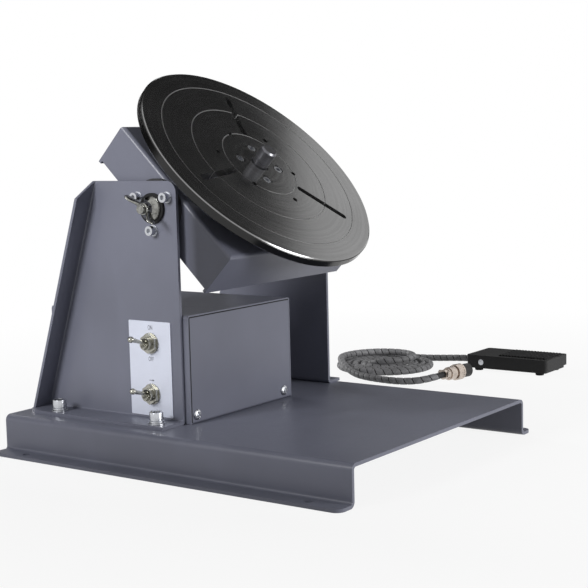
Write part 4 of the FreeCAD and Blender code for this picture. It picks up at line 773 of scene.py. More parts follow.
@dataclass
class SubAssembly:
    """A group of the positioner's pieces.

    Args:
        made: the pieces that it has added so far.
    """

    made: list[str] = field(default_factory=list)

    def keep(
        self,
        piece: bpy.types.Object,
        body: str,
        finish: Finish,
        material_slot: str,
        replaced: tuple[str, ...] = (),
    ) -> bpy.types.Object:
        """Dresses a new piece and sets it on its body.

        Args:
            piece: the new piece.
            body: the CAD body that it rides on.
            finish: what it is dressed in.
            material_slot: the record's slot that it takes its finish from; not used.
            replaced: the CAD nodes that it stands for.

        Returns:
            The piece.
        """
        dress(piece, WARDROBE.get(finish))
        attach(piece, body)
        if replaced:
            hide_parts(*replaced)
        self.made.append(piece.name)
        count = len(getattr(piece.data, "vertices", ()))
        log.info("%s: %d points, rides on %s", piece.name, count, body)
        return piece

    def coat(self, finish: Finish, *nodes: str) -> None:
        """Dresses CAD nodes that keep their own shape.

        Args:
            finish: what they are dressed in.
            nodes: their names.
        """
        for node in nodes:
            dress(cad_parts[node], WARDROBE.get(finish))
            log.info("%s: %s", node, finish.name)


# ------------------------------------------------------------------ camera, floor and light


@dataclass(frozen=True)
class Lamp:
    """A soft rectangular lamp.

    Args:
        name: its name.
        spot: where it hangs.
        aim: the point that it faces.
        size: width and height.
        power: watts.
    """

    name: str
    spot: Triple
    aim: Triple
    size: tuple[float, float]
    power: float

    def hang(self) -> None:
        """Puts the lamp in the studio."""
        data = bpy.data.lights.new(self.name, "AREA")
        data.shape = "RECTANGLE"
        data.size, data.size_y = self.size
        data.energy = self.power
        lamp = bpy.data.objects.new(self.name, data)
        lamp.location = self.spot
        lamp.rotation_mode = "QUATERNION"
        ahead = Vector(self.aim) - Vector(self.spot)
        lamp.rotation_quaternion = ahead.to_track_quat("-Z", "Y")
        bpy.context.scene.collection.objects.link(lamp)


@dataclass(frozen=True)
class Card:
    """A black card that only polished surfaces see, or that only shades.

    Args:
        name: its name.
        corners: its four corners in order.
        shade: whether it cuts a lamp's light instead of standing in reflections.
    """

    name: str
    corners: tuple[Triple, Triple, Triple, Triple]
    shade: bool = False

    def hang(self, black: bpy.types.Material) -> None:
        """Puts the card in the studio.

        Args:
            black: what it is covered with.
        """
        card = make_piece(self.name, np.array(self.corners, float), [[0, 1, 2, 3]])
        card.data.materials.append(black)
        card.visible_camera = card.visible_diffuse = card.visible_transmission = False
        card.visible_glossy, card.visible_shadow = not self.shade, self.shade


@dataclass
class Studio:
    """Camera, pale floor, white surroundings, soft lamps and the cards between them.

    Args:
        eye: where the camera stands.
        azimuth, dip, roll: its turn about Z, its look downwards and its lean, in degrees.
        lens: focal length in millimetres, on a frame 36 mm wide.
        shift: how far the view lies off the lens's axis.
        surroundings: strength of the plain light from all round.
        floor_side: half the floor's width.
        floor_grey: the floor's own colour.
        fade: distances from the middle between which the floor goes over to white.
        near_white: its share of white within the first of them.
        lamps, cards: what hangs in it.
    """

    eye: Triple = (0.75064, -0.9930, 0.2846)
    azimuth: float = 35.611
    dip: float = 6.872
    roll: float = -1.376
    lens: float = 82.648
    shift: tuple[float, float] = (-0.0061, 0.0107)
    surroundings: float = 0.2
    floor_side: float = 9.0
    floor_grey: float = 0.66
    fade: tuple[float, float] = (0.25, 1.0)
    near_white: float = 0.88
    lamps: tuple[Lamp, ...] = (
        Lamp("key_lamp", (-0.3, -1.3, 0.72), (-0.05, 0.0, 0.15), (0.42, 0.42), 17.0),
        Lamp("side_lamp", (1.5, 0.3, 0.4), (0.0, 0.0, 0.12), (0.7, 0.5), 17.0),
        Lamp("back_lamp", (-1.6, 0.5, 0.7), (0.0, 0.1, 0.1), (0.6, 0.5), 12.0),
    )
    cards: tuple[Card, ...] = (
        Card(
            "upper_flag",
            ((-1.4, 0.8, 0.79), (1.2, 0.8, 0.79), (1.2, 0.9, 2.6), (-1.4, 0.9, 2.6)),
        ),
        Card(
            "horizon_flag",
            ((-2.6, 0.5, 0.0), (-0.35, 2.1, 0.0), (-0.35, 2.1, 0.85), (-2.6, 0.5, 0.85)),
        ),
        Card(
            "left_flag",
            ((-1.4, 0.9, 0.5), (-1.4, -1.2, 0.5), (-1.4, -1.2, 2.6), (-1.4, 0.9, 2.6)),
        ),
        Card(
            "low_card",
            ((-0.6, -0.45, 0.0), (0.7, -0.45, 0.0), (0.7, -0.45, 0.28), (-0.6, -0.45, 0.15)),
            shade=True,
        ),
        Card(
            "shade_card",
            ((-0.018, -0.135, 0.142), (0.1, -0.135, 0.142), (0.1, -0.135, 0.268),
             (-0.018, -0.135, 0.268)),
            shade=True,
        ),
    )

    def camera(self) -> None:
        """Sets the camera from its azimuth, dip and roll."""
        az, el, roll = (math.radians(a) for a in (self.azimuth, self.dip, self.roll))
        ahead = Vector((-math.sin(az) * math.cos(el), math.cos(az) * math.cos(el), -math.sin(el)))
        level = Vector((math.cos(az), math.sin(az), 0.0))
        above = level.cross(ahead)
        right = level * math.cos(roll) + above * math.sin(roll)
        up = above * math.cos(roll) - level * math.sin(roll)
        data = bpy.data.cameras.new("studio_camera")
        data.lens, data.sensor_width = self.lens, 36.0
        data.shift_x, data.shift_y = self.shift
        data.clip_start, data.clip_end = 0.01, 50.0
        camera = bpy.data.objects.new("studio_camera", data)
        turn = Matrix((right, up, -ahead)).transposed().to_4x4()
        camera.matrix_world = Matrix.Translation(self.eye) @ turn
        bpy.context.scene.collection.objects.link(camera)
        bpy.context.scene.camera = camera

    @staticmethod
    def seen(sheet: NodeSheet) -> Value:
        """Tells the eye's rays from those that only bring light.

        Args:
            sheet: the nodes that it joins.

        Returns:
            1 for a ray that comes from the camera, a mirror-like surface or glass, else 0.
        """
        total = sheet.add("ShaderNodeLightPath", {}, {}, "Is Camera Ray")
        path = total.socket.node.outputs
        for key in ("Is Glossy Ray", "Is Transmission Ray"):
            total = total.or_more(Value(sheet, path[key]))
        return total

    def world(self) -> None:
        """White surroundings to the eye and to metal, and a lower plain light on the object."""
        world = bpy.data.worlds.new("studio_world")
        world.use_nodes = True
        sheet = NodeSheet(world.node_tree)
        level = sheet.add(
            "ShaderNodeMapRange", {},
            {"Value": self.seen(sheet), "To Min": self.surroundings, "To Max": 1.0},
        )
        white = {"Color": (1.0, 1.0, 1.0, 1.0), "Strength": level}
        sheet.show("ShaderNodeOutputWorld", sheet.add("ShaderNodeBackground", {}, white))
        bpy.context.scene.world = world

    def floor(self) -> None:
        """A pale floor that keeps the object's shadow and fades to white away from it."""
        side, grey = self.floor_side, self.floor_grey
        corners = np.array([[-side, -side, 0], [side, -side, 0], [side, side, 0], [-side, side, 0]])
        floor = make_piece("studio_floor", corners, [[0, 1, 2, 3]])
        material = bpy.data.materials.new("pale_floor")
        material.use_nodes = True
        sheet = NodeSheet(material.node_tree)
        spot = sheet.add("ShaderNodeTexCoord", {}, {}, "Object")
        reach = sheet.add("ShaderNodeVectorMath", {"operation": "LENGTH"}, {0: spot}, "Value")
        fade = sheet.add(
            "ShaderNodeMapRange", {},
            {"Value": reach, "From Min": self.fade[0], "From Max": self.fade[1],
             "To Min": self.near_white, "To Max": 1.0},
        )
        matt = sheet.add("ShaderNodeBsdfDiffuse", {}, {"Color": (grey, grey, grey, 1.0)})
        white = sheet.add("ShaderNodeEmission", {}, {"Strength": 1.0})
        share = self.seen(sheet) * fade
        blend = sheet.add("ShaderNodeMixShader", {}, {0: share, 1: matt, 2: white})
        sheet.show("ShaderNodeOutputMaterial", blend)
        floor.data.materials.append(material)

    def build(self) -> None:
        """Sets up the whole studio."""
        bpy.context.scene.view_settings.view_transform = "Standard"
        self.camera()
        self.world()
        self.floor()
        for lamp in self.lamps:
            lamp.hang()
        matt_black = {"Base Color": (0.0, 0.0, 0.0, 1.0), "Specular IOR Level": 0.0}
        black = Graph("black_card", matt_black).material
        for card in self.cards:
            card.hang(black)
        log.info("studio: %d lamps, %d cards", len(self.lamps), len(self.cards))


# ------------------------------------------------------------------ pedal cord and plug


@dataclass
class PedalCord(SubAssembly):
    """Spiral-wrapped cord from the foot pedal through its loose coil to the plug.

    The coil is one more stretch of the cord's own line: flat turns that shrink inwards, a small
    inner ring, then one turn that climbs over the others and lies down outside them.

    Args:
        jacket: radius of the cord under its wrap.
        wrap, wrap_wall: outer radius of the wrap's strip, and its thickness.
        pitch, gap: how far the strip moves on in a turn, and what it leaves open of that.
        wrap_starts, wrap_ends: bare cord at the pedal and at the plug.
        wrap_step: how far before and behind a point its direction is read.
        wrap_points: points in each turn of the strip.
        centre: the coil's middle.
        points_per_turn: control points in each turn of the coil.
        turns: angle round the coil in degrees, radius and height in millimetres.
        lead, tail: control points from the pedal to the coil, and from it to the plug.
    """

    jacket: float = 0.0036
    wrap: float = 0.004
    wrap_wall: float = 0.0005
    pitch: float = 0.0096
    gap: float = 0.0013
    wrap_starts: float = 0.004
    wrap_ends: float = 0.012
    wrap_step: float = 0.0015
    wrap_points: int = 14
    centre: tuple[float, float] = (-0.118, 0.4055)
    points_per_turn: int = 15
    turns: tuple[Triple, ...] = (
        (90, 62.6, 4.3),
        (254, 55.8, 4.3),
        (450, 52.2, 4.3),
        (614, 46.8, 4.3),
        (810, 43.0, 4.3),
        (974, 38.3, 4.3),
        (1170, 34.4, 4.3),
        (1270, 30.0, 4.3),
        (1370, 21.0, 4.3),
        (1640, 20.0, 4.3),
        (1706, 20.0, 10.0),
        (1740, 21.0, 13.0),
        (1800, 27.5, 13.2),
        (2000, 56.0, 13.2),
        (2031, 60.8, 12.6),
    )
    lead: tuple[Triple, ...] = (
        (-0.0295, 0.468, 0.0095),
        (-0.0516, 0.4685, 0.0085),
        (-0.0738, 0.4705, 0.0063),
        (-0.0959, 0.4700, 0.0048),
    )
    tail: tuple[Triple, ...] = (
        (-0.1359, 0.3428, 0.0082),
        (-0.1141, 0.3292, 0.0044),
        (-0.0922, 0.3197, 0.0043),
        (-0.0677, 0.3145, 0.0043),
        (-0.0437, 0.3145, 0.0043),
        (-0.0262, 0.3189, 0.0055),
        (-0.0160, 0.3269, 0.0073),
        (-0.0100, 0.3373, 0.0089),
        (-0.0075, 0.3490, 0.0095),
    )

    def route(self) -> np.ndarray:
        """Control points of the cord's line, from the pedal to the plug.

        Returns:
            One point per row. A coil point at angle a stands at the table's radius and height
            there, read between its rows; the radius is raised by what a curve of second degree
            cuts off its corners.
        """
        table = np.array(self.turns)
        step = 360.0 / self.points_per_turn
        angle = np.arange(table[0, 0], table[-1, 0] + 1, step)
        cut = 0.75 + 0.25 * math.cos(math.radians(step))
        radius = np.interp(angle, table[:, 0], table[:, 1]) * MM / cut
        height = np.interp(angle, table[:, 0], table[:, 2]) * MM
        a = np.radians(angle)
        coil = np.stack([radius * np.cos(a), radius * np.sin(a), height], 1)
        coil += (*self.centre, 0.0)
        return np.concatenate([self.lead, coil, self.tail])

    def curve(self, name: str, bevel: float) -> bpy.types.Object:
        """The cord's line as a curve of one open spline.

        Args:
            name: the curve's name.
            bevel: its tube's radius, or 0 for the bare line.

        Returns:
            The curve object.
        """
        points = self.route()
        data = bpy.data.curves.new(name, "CURVE")
        data.dimensions = "3D"
        data.resolution_u = 6
        data.bevel_depth = bevel
        data.bevel_resolution = 3
        data.use_fill_caps = bevel > 0
        spline = data.splines.new("NURBS")
        spline.points.add(len(points) - 1)
        homogeneous = np.concatenate([points, np.ones((len(points), 1))], 1)
        spline.points.foreach_set("co", homogeneous.ravel())
        spline.order_u = 3
        spline.use_endpoint_u = True
        piece = bpy.data.objects.new(name, data)
        bpy.context.scene.collection.objects.link(piece)
        return piece

    def line(self) -> np.ndarray:
        """The cord's own line, read from its spline.

        Returns:
            Points in order, from the pedal to the plug.
        """
        bare = self.curve("cord_line", 0.0)
        bare.data.resolution_u = 12
        mesh = bpy.data.meshes.new_from_object(bare)
        points = read_points(mesh)
        bpy.data.objects.remove(bare)
        bpy.data.meshes.remove(mesh)
        return points

    def spiral(self, line: np.ndarray) -> bpy.types.Object:
        """The spiral wrap: a strip wound round the cord's line.

        Args:
            line: points along the cord's middle.

        Returns:
            The wrap. The strip's own section is a rounded bar, as wide as the pitch less the
            gap; a point of it at winding angle w stands at the line's point a pitch further per
            turn, out along the level side vector and the upright one by the cosine and sine
            of w.
        """
        legs = np.linalg.norm(np.diff(line, axis=0), axis=1)
        run = np.concatenate([[0.0], np.cumsum(legs)])
        turns = (run[-1] - self.wrap_ends - self.wrap_starts) / self.pitch
        wind = np.linspace(0.0, turns * 2 * math.pi, int(turns * self.wrap_points))
        half, wall = (self.pitch - self.gap) / 2, self.wrap_wall
        section = np.array(
            [(-half, -wall), (-half, -0.25 * wall), (-0.82 * half, 0.0), (0.0, 0.06 * wall),
             (0.82 * half, 0.0), (half, -0.25 * wall), (half, -wall)]
        )
        along = wind[:, None] * self.pitch / (2 * math.pi) + section[None, :, 0]
        along += self.wrap_starts
        out = self.wrap + section[None, :, 1] + 0 * along
        behind, middle, ahead = (
            np.stack([np.interp(along + step, run, axis) for axis in line.T], -1)
            for step in (-self.wrap_step, 0.0, self.wrap_step)
        )
        tangent = unit(ahead - behind)
        side = unit(np.cross([0.0, 0.0, 1.0], tangent))
        rise = np.cross(tangent, side)
        turn = wind[:, None, None]
        points = middle + out[..., None] * (np.cos(turn) * side + np.sin(turn) * rise)
        return make_piece("pedal_cord_wrap", *closed(points[:, ::-1]))

    def build(self) -> None:
        cord = self.curve("pedal_cord", self.jacket)
        self.keep(
            cord, "stand", Coat.CABLE.value, "cord_sleeve",
            ("pedal_cord_lead", "pedal_cord_coil", "pedal_cord_tail"),
        )
        line = self.line()
        length = float(np.linalg.norm(np.diff(line, axis=0), axis=1).sum())
        log.info("pedal cord is %.3f m long", length)
        wrap = self.keep(self.spiral(line), "stand", Coat.SLEEVE.value, "cord_sleeve")
        self.coat(Coat.NICKEL.value, "plug_cord_clamp", "plug_body", "plug_coupling_ring")
        self.coat(Coat.PLASTIC.value, "plug_insert", "pedal_gland")


# ------------------------------------------------------------------ sheet-metal frame


@dataclass
class Stand(SubAssembly):
    """Base channel, uprights, control box and the fasteners that hold them.

    Args:
        flat_washer, spring_washer: sections of the two washers under a foot screw, as radius
            and height above the foot in millimetres.
        screw_head, hex_socket, socket_floor: outline of its head from the washers to the floor
            of its socket, likewise.
        socket_fit: how far the socket's flats stand in from its round rings, as a share.
        foot_inset: from the washers' box to a screw's axis.
        pan_radius, pan_height, pan_inset: size of a cover screw's head, and from the screws'
            box to its axis.
        pan_seat: how far its seat lies behind the screws' box.
        pan_shank: length of its shank.
        cross_arm, cross_reach, cross_depth: half width, length and depth of its cross recess.
        shadow_bead_radius, shadow_bead_tuck: size of the black bead that paints the shadow in the
            lid's gap, and how deep it lies in that gap.
    """

    flat_washer: Profile = (
        (3.2, 0), (7.2, 0), (7.5, 0.25), (7.5, 1.35), (7.2, 1.6), (3.2, 1.6),
    )
    spring_washer: Profile = (
        (3.2, 1.6), (6.5, 1.6), (6.8, 1.8), (6.8, 3.2), (6.5, 3.4), (3.2, 3.4),
    )
    screw_head: Profile = (
        (3.0, 3.4), (5.9, 3.4), (6.2, 3.7), (6.2, 10.2), (6.05, 10.7), (5.6, 10.95),
    )
    hex_socket: Profile = ((3.3, 10.95), (3.0, 10.7), (3.0, 6.9))
    socket_floor: Profile = ((1.6, 6.2),)
    socket_fit: float = 0.97
    foot_inset: float = 6.0 * MM
    pan_radius: float = 4.7 * MM
    pan_height: float = 2.4 * MM
    pan_inset: float = 3.7 * MM
    pan_seat: float = 2.2 * MM
    pan_shank: float = 5.0 * MM
    cross_arm: float = 0.9 * MM
    cross_reach: float = 2.8 * MM
    cross_depth: float = 1.5 * MM
    shadow_bead_radius: float = 0.55 * MM
    shadow_bead_tuck: float = 0.1 * MM

    def foot_screws(self) -> bpy.types.Object:
        """Socket screws that hold the uprights' feet, each on a spring and a flat washer.

        Returns:
            One piece. A head's top face narrows from its round edge to a six-sided socket,
            whose ring is the regular hexagon's radius at each angle.
        """
        low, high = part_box("upright_bolt_washers")
        foot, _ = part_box("upright_bolts")
        tip = (foot.z - low.z) / MM
        shank = ((2.5, tip), (3.0, tip + 0.6))
        sides = 96
        outline = shank + self.screw_head + self.hex_socket + self.socket_floor
        head = turned_rings(outline, sides)
        sixth = math.pi / 3
        flats = self.socket_fit / np.cos((full_turn(sides) + sixth / 2) % sixth - sixth / 2)
        head[len(shank) + len(self.screw_head) : -1, :, :2] *= flats[:, None]
        washers = [closed(turned_rings(p), True) for p in (self.flat_washer, self.spring_washer)]
        parts = []
        for x in (low.x + self.foot_inset, high.x - self.foot_inset):
            for y in (low.y + self.foot_inset, high.y - self.foot_inset):
                for points, faces in (*washers, closed(head)):
                    parts.append((points + np.array([x, y, low.z]), faces))
        return joined("foot_socket_screws", parts)

    def cover_screws(self) -> bpy.types.Object:
        """Pan-head screws at the box's two ends, each with a cross recess.

        Returns:
            One piece. A head's height falls with the fourth power of the distance from its
            middle, less a cross whose arms fade out at their sides and ends.
        """
        low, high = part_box("box_cover_screws")
        share = np.linspace(1.0, 0.0, 30)[:-1, None]
        angle = full_turn(72)
        x, y = (self.pan_radius * share * turn for turn in (np.cos(angle), np.sin(angle)))
        arm = np.clip((self.cross_arm - np.minimum(abs(x), abs(y))) / (0.4 * MM), 0, 1)
        arm *= np.clip((self.cross_reach - self.pan_radius * share) / (0.6 * MM), 0, 1)
        top = self.pan_height * (1 - 0.6 * share**4) - self.cross_depth * arm
        foot = np.stack([x[0], y[0], 0 * x[0]], -1)[None]
        neck = foot * (0.5, 0.5, 1.0)
        tip = neck - (0.0, 0.0, self.pan_shank)
        head, faces = closed(np.concatenate([tip, neck, foot, np.stack([x, y, top], -1)]))
        parts = []
        for end_x, way in ((low.x, -1.0), (high.x, 1.0)):
            for seat_y in (low.y + self.pan_inset, high.y - self.pan_inset):
                seat = (end_x - way * self.pan_seat, seat_y, (low.z + high.z) / 2)
                parts.append((aimed(head, seat, (way, 0.0, 0.0), 0.5), faces))
        return joined("cover_pan_screws", parts)

    def painted_shadow_bead(self) -> bpy.types.Object:
        """Black bead in the gap between the box's lid and its front panel: a painted shadow of that
        gap.

        Returns:
            A round bead along the panel's near and top edges. Each ring lies across the
            path's own direction, halfway between its neighbours' at the corner.
        """
        low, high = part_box("control_box_chassis")
        tuck = self.shadow_bead_tuck
        front, side, top = high.x - tuck, low.y + tuck, high.z - tuck
        path = np.array(
            [(front, side, low.z + 1.5 * MM), (front, side, top - 1.0 * MM),
             (front, side + 0.3 * MM, top - 0.3 * MM), (front, side + 1.0 * MM, top),
             (front, high.y - 0.5 * MM, top)]
        )
        outward = np.array([1.0, 0.0, 0.0])
        across = np.cross(unit(np.gradient(path, axis=0)), outward)
        angle = full_turn(12)[None, :, None]
        ring = np.sin(angle) * across[:, None] + np.cos(angle) * outward
        return make_piece("painted_shadow_bead", *closed(path[:, None] + self.shadow_bead_radius * ring))

    def build(self) -> None:
        """Makes the visible screws and the black bead of painted shadow in the lid's gap, and
        dresses the painted sheet metal.
        """
        zinc = Coat.ZINC.value
        feet = ("upright_bolts", "upright_bolt_washers")
        # black bead along the lid's gap: painted shadow where the box only has a shaded gap
        self.keep(self.painted_shadow_bead(), "stand", Coat.RUBBER.value, "rubber")
        self.keep(self.foot_screws(), "stand", zinc, "zinc", feet)
        self.keep(self.cover_screws(), "stand", zinc, "zinc", ("box_cover_screws",))
        self.coat(
            Coat.FRAME.value, "base_channel", "near_upright", "far_upright",
            "control_box_chassis", "control_box_lid",
        )
        self.coat(
            zinc, "upright_bolt_nuts", "box_floor_screws", "flange_screws",
            "flange_screw_washers", "far_trunnion_nut",
        )
        self.coat(Coat.OXIDE.value, "near_bearing_flange", "far_bearing_flange")


@dataclass
class BoxContents(SubAssembly):
    """What the control box holds, and what is on its rear panel."""

    def build(self) -> None:
        """Dresses the parts."""
        low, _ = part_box("speed_board")
        board = BoardGreen("circuit_board", (24, 84, 56), 0.45, face=low.z + 0.0097)
        self.coat(board, "speed_board")
        self.coat(Coat.ZINC.value, "power_supply")
        self.coat(Coat.STEEL.value, "speed_potentiometer")
        self.coat(Coat.PLASTIC.value, "mains_inlet", "speed_knob")
        self.coat(Coat.NICKEL.value, "pedal_socket")


# ------------------------------------------------------------------ tilting head


@dataclass
class Head(SubAssembly):
    """Tilting head with its gear train, bearings and trunnions.

    Args:
        axis_point: a point on the spindle's axis.
        tilt: the angle that the head stands at, in degrees.
    """

    axis_point: Triple = (-0.0415, 0.010, 0.226)
    tilt: float = 44.0

    def about_axis(self) -> dict[str, Triple]:
        """Where a finish of turned marks has its middle and its axis."""
        return {"centre": self.axis_point, "turn": (0.0, math.radians(self.tilt), 0.0)}

    def turned(self, name: str, colour: Triple, roughness: float, light: float) -> Turned:
        """A lathe finish about the spindle's axis.

        Args:
            name, colour, roughness, light: as Turned takes them.

        Returns:
            The finish.
        """
        return Turned(name, colour, roughness, light=light, **self.about_axis())

    def build(self) -> None:
        """Dresses the head."""
        self.coat(Coat.FRAME.value, "tilt_housing")
        self.coat(self.turned("spindle_steel", (92, 92, 96), 0.3, light=1.25), "spindle")
        self.coat(
            self.turned("bearing_steel", (170, 171, 174), 0.2, light=1.1),
            "bearing_outer_rings", "bearing_inner_rings",
        )
        plate = PlateFace("blackened_plate", (131, 131, 131), 0.17, **self.about_axis())
        self.coat(plate, "faceplate")
        alloy = self.turned("housing_alloy", (176, 178, 182), 0.36, light=1.12)
        self.coat(alloy, "bearing_housing")
        self.coat(self.turned("gear_steel", (140, 140, 144), 0.36, light=1.2), "driven_gear")
        self.coat(Coat.STEEL.value, "gear_plate", "gearbox", "drive_pinion", "far_trunnion")
        self.coat(Coat.CHROME.value, "near_trunnion")
        self.coat(Coat.ZINC.value, "head_screws_and_spacers", "gear_motor", "faceplate_screws")
        self.coat(Coat.OXIDE.value, "spindle_retaining_ring")


@dataclass
class TiltClamp(SubAssembly):
    """Cone, wing nut, threaded stud end and friction washer that lock the tilt.

    Local heights run outwards along -Y from each piece's own foot. Profiles and the thread are
    in millimetres.

    Args:
        axis: X and Z of the tilt axis.
        wing_angle: how far the wings stand turned, in degrees.
        cone_profile, hub_profile: outlines of the cone and of the wing nut's hub.
        stud: heights that the thread runs between.
        core, pitch, crest: the stud's radius, its thread's pitch and how high that stands.
    """

    axis: tuple[float, float] = (-0.0415, 0.226)
    wing_angle: float = 141.0
    cone_profile: Profile = (
        (4.05, 0.0), (10.35, 0.0), (10.6, 0.25), (10.6, 0.8), (10.2, 1.0), (10.2, 1.3),
        (10.6, 1.5), (10.6, 2.0), (10.3, 2.3), (9.4, 2.8), (8.5, 3.5), (7.8, 4.2), (7.3, 4.9),
        (6.9, 5.5), (6.5, 5.85), (4.05, 5.85),
    )
    hub_profile: Profile = (
        (4.24, 0.0), (6.2, 0.0), (6.5, 0.3), (6.3, 1.6), (5.9, 3.4), (5.6, 4.8), (5.3, 5.5),
        (4.9, 5.8), (4.24, 5.8),
    )
    stud: tuple[float, float] = (5.9, 9.0)
    core: float = 3.9
    pitch: float = 1.25
    crest: float = 0.16

    def out(self, local: np.ndarray, foot: float) -> np.ndarray:
        """Local points set on the tilt axis, heights outwards from a foot along Y.

        Args:
            local: points, Z outwards.
            foot: Y of their zero height.

        Returns:
            Points in the frame.
        """
        spot = (self.axis[0], foot, self.axis[1])
        return aimed(local, spot, (0.0, -1.0, 0.0), math.radians(self.wing_angle))

    def wing(self, sign: float) -> np.ndarray:
        """One ear of the wing nut.

        Args:
            sign: 1 or -1, for the two sides.

        Returns:
            Rings of points. The ear's middle line leaves the hub outwards and bends away from
            the plate; its section is a flat oval, widest at mid length, that closes at the tip
            as a quarter circle does.
        """
        share = np.linspace(0.0, 1.0, 30)
        reach = (4.7 + 14.1 * share) * MM
        height = (2.9 + 9.0 * share**1.3) * MM
        ahead = unit(np.gradient(np.stack([reach, height], 1), axis=0))
        broad = np.interp(share, (0.0, 0.3, 0.7, 1.0), (2.5, 3.0, 4.3, 3.8)) * MM
        thick = np.interp(share, (0.0, 0.5, 1.0), (1.9, 1.4, 1.2)) * MM
        close = np.sqrt(np.clip(1 - np.clip((share - 0.78) / 0.22, 0, 1) ** 2, 0.0004, 1))
        c, s = np.cos(full_turn(24)), np.sin(full_turn(24))
        wide = (broad * close)[:, None] * np.sign(c) * np.abs(c) ** 0.7
        deep = (thick * close)[:, None] * np.sign(s) * np.abs(s) ** 0.9
        return np.stack(
            [sign * (reach[:, None] - ahead[:, 1:] * wide), -sign * deep,
             height[:, None] + ahead[:, :1] * wide], -1
        )

    def thread(self) -> np.ndarray:
        """Thread on the stud's end.

        Returns:
            Rings of points. The radius rises and falls as a triangle wave of the height less
            the angle's share of a pitch, and dips under the stud at both ends.
        """
        foot, end = (h * MM for h in self.stud)
        height = np.linspace(*self.stud, 42)[:, None] * MM
        angle = full_turn(48)
        phase = (height / (self.pitch * MM) - angle / (2 * math.pi)) % 1.0
        wave = 1 - np.abs(2 * phase - 1)
        ends = np.clip(np.minimum(height - foot, end - height) / (0.35 * MM), 0, 1)
        radius = self.core * MM + (0.1 * MM + self.crest * MM * wave) * ends
        return round_rings(radius, height, angle)

    def build(self) -> None:
        """Makes the clamp's pieces and dresses them."""
        chrome = Coat.CHROME.value
        _, cone_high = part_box("clamp_cone")
        _, nut_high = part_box("wing_nut")
        cone, faces = closed(turned_rings(self.cone_profile), True)
        cone = make_piece("tilt_clamp_cone", self.out(cone, cone_high.y), faces)
        self.keep(cone, "clamp", chrome, "bright_steel", ("clamp_cone",))
        parts = [closed(turned_rings(self.hub_profile), True)]
        parts += [closed(self.wing(sign)) for sign in (1.0, -1.0)]
        parts = [(self.out(points, nut_high.y), faces) for points, faces in parts]
        nut = joined("tilt_wing_nut", parts)
        self.keep(nut, "wings", chrome, "bright_steel", ("wing_nut",))
        thread, faces = closed(self.thread())
        stud = make_piece("clamp_stud_thread", self.out(thread, nut_high.y), faces)
        self.keep(stud, "tilting_head", chrome, "machined_steel")
        self.coat(Coat.RUBBER.value, "friction_washer")


# ------------------------------------------------------------------ switch panel


@dataclass
class SwitchPanel(SubAssembly):
    """Label plate with its generic marks, and the two toggle switches.

    Args:
        relief: how far a mark stands up.
        switch_x, heights: X of the switches, and Z of the upper and the lower.
        words: each word, and how far above the upper switch it stands.
        letter_height, narrow: size of the letters, and their width as a share of the plain one.
        arrow_lifts: how far above the lower switch each arrow stands.
        arrow_half, arrow_tip: half an arrow's length, and how much of it is the tip.
        arrow_bar, arrow_head: half widths of its bar and its tip.
    """

    relief: float = 0.00012
    switch_x: float = -0.0495
    heights: tuple[float, float] = (0.106, 0.060)
    words: tuple[tuple[str, float], ...] = (("ON", 0.0120), ("OFF", -0.0163))
    letter_height: float = 0.0057
    narrow: float = 0.62
    arrow_lifts: tuple[float, float] = (0.0123, -0.0160)
    arrow_half: float = 0.0030
    arrow_tip: float = 0.0022
    arrow_bar: float = 0.00022
    arrow_head: float = 0.00085

    def lettering(self) -> bpy.types.Object:
        """The words by the upper switch.

        Returns:
            One piece. Each word is made a mesh first, then narrowed and stood on the plate.
        """
        low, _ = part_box("label_plate")
        parts = []
        for text, lift in self.words:
            data = bpy.data.curves.new(text, "FONT")
            data.body, data.size, data.align_x = text, self.letter_height, "CENTER"
            data.extrude = self.relief / 2
            loose = bpy.data.objects.new(text, data)
            mesh = bpy.data.meshes.new_from_object(loose)
            flat = read_points(mesh)
            across = self.switch_x + self.narrow * flat[:, 0]
            up = self.heights[0] + lift + flat[:, 1]
            faces = [list(face.vertices) for face in mesh.polygons]
            parts.append((np.stack([across, low.y - flat[:, 2], up], 1), faces))
            bpy.data.objects.remove(loose)
            bpy.data.meshes.remove(mesh)
        return joined("switch_lettering", parts)

    def arrows(self) -> bpy.types.Object:
        """The two ways that the lower switch turns the plate, one arrow each.

        Returns:
            Two flat arrows. Each is a thin bar with a triangle at one end, seven corners in
            order, given a little thickness.
        """
        low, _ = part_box("label_plate")
        half, bar, head = self.arrow_half, self.arrow_bar, self.arrow_head
        barb = half - self.arrow_tip
        outline = np.array(
            [(-half, -bar), (barb, -bar), (barb, -head), (half, 0.0), (barb, head), (barb, bar),
             (-half, bar)]
        )
        parts = []
        for sign, lift in zip((1.0, -1.0), self.arrow_lifts):
            across = self.switch_x + sign * outline[:, 0]
            up = self.heights[1] + lift + sign * outline[:, 1]
            front = np.stack([across, 0 * up + low.y - self.relief, up], 1)
            back = front + np.array([0.0, 1.5 * self.relief, 0.0])
            parts.append(closed(np.stack([back, front])))
        return joined("switch_arrows", parts)

    def build(self) -> None:
        """Makes the marks and dresses the panel."""
        self.keep(self.lettering(), "stand", Coat.PRINT.value, "label")
        self.keep(self.arrows(), "stand", Coat.PRINT.value, "label")
        self.coat(Coat.LABEL.value, "label_plate")
        self.coat(Coat.SWITCH.value, "toggle_switch_bodies")
        self.coat(
            Coat.SWITCH_NICKEL.value, "toggle_switch_nuts", "power_switch_lever",
            "direction_switch_lever",
        )


# ------------------------------------------------------------------ foot pedal


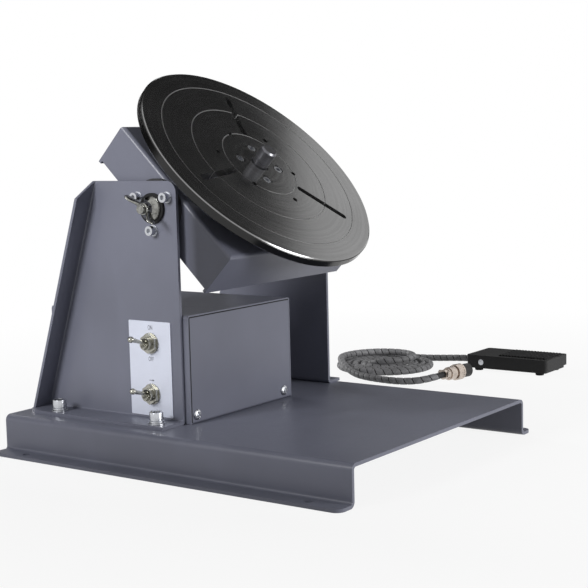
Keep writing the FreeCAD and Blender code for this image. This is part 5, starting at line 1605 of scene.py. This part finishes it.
@dataclass
class FootPedal(SubAssembly):
    """Foot pedal: folded base, treadle, ribbed pad, return spring.

    Args:
        spring_radius: of the spring's coils.
        wire: radius of its wire.
        coils: number of turns.
        slow_ends: how much slower the wire climbs at the spring's two ends, as a share.
        keep_height: how much of its height is left when the treadle is down; not used.
    """

    spring_radius: float = 0.0040
    wire: float = 0.0005
    coils: float = 5.5
    slow_ends: float = 0.55
    keep_height: float = 0.72

    def spring(self) -> bpy.types.Object:
        """The return spring.

        Returns:
            A round wire carried along a helix: the middle line turns evenly about the spring's
            axis while it climbs, slowly at both ends where the coils close up.
        """
        low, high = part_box("pedal_spring")
        centre = (low + high) / 2
        share = np.linspace(0.0, 1.0, 150)
        turn = share * self.coils * 2 * math.pi
        climb = share - np.sin(2 * math.pi * share) / (2 * math.pi) * self.slow_ends
        bottom, top = low.z + self.wire, high.z - self.wire
        x, y = (self.spring_radius * wave for wave in (np.cos(turn), np.sin(turn)))
        line = np.stack([centre.x + x, centre.y + y, bottom + (top - bottom) * climb], 1)
        outward = np.stack([np.cos(turn), np.sin(turn), 0 * turn], 1)
        rise = unit(np.cross(unit(np.gradient(line, axis=0)), outward))
        angle = full_turn(8)[None, :, None]
        ring = np.cos(angle) * outward[:, None] + np.sin(angle) * rise[:, None]
        return make_piece("pedal_return_spring", *closed(line[:, None] + self.wire * ring))

    def build(self) -> None:
        """Makes the spring and dresses the pedal."""
        steel, replaced = Coat.STEEL.value, ("pedal_spring",)
        spring = self.keep(self.spring(), "stand", steel, "machined_steel", replaced)
        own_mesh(spring)
        self.coat(Coat.PEDAL.value, "pedal_base", "treadle")
        self.coat(Coat.RUBBER.value, "treadle_pad", "pedal_feet")
        self.coat(Coat.ZINC.value, "pedal_pivot_pin")
        self.coat(Coat.PLASTIC.value, "pedal_microswitch")


# ------------------------------------------------------------------ order of work


def main() -> None:
    """Builds the studio and every sub-assembly in order."""
    logging.basicConfig(level=logging.INFO, format="%(message)s")
    Studio().build()
    groups = (PedalCord(), Stand(), BoxContents(), Head(), TiltClamp(), SwitchPanel(), FootPedal())
    for group in groups:
        group.build()
        log.info("%s: added %s", type(group).__name__, ", ".join(group.made) or "no new piece")


if __name__ == "__main__":
    main()
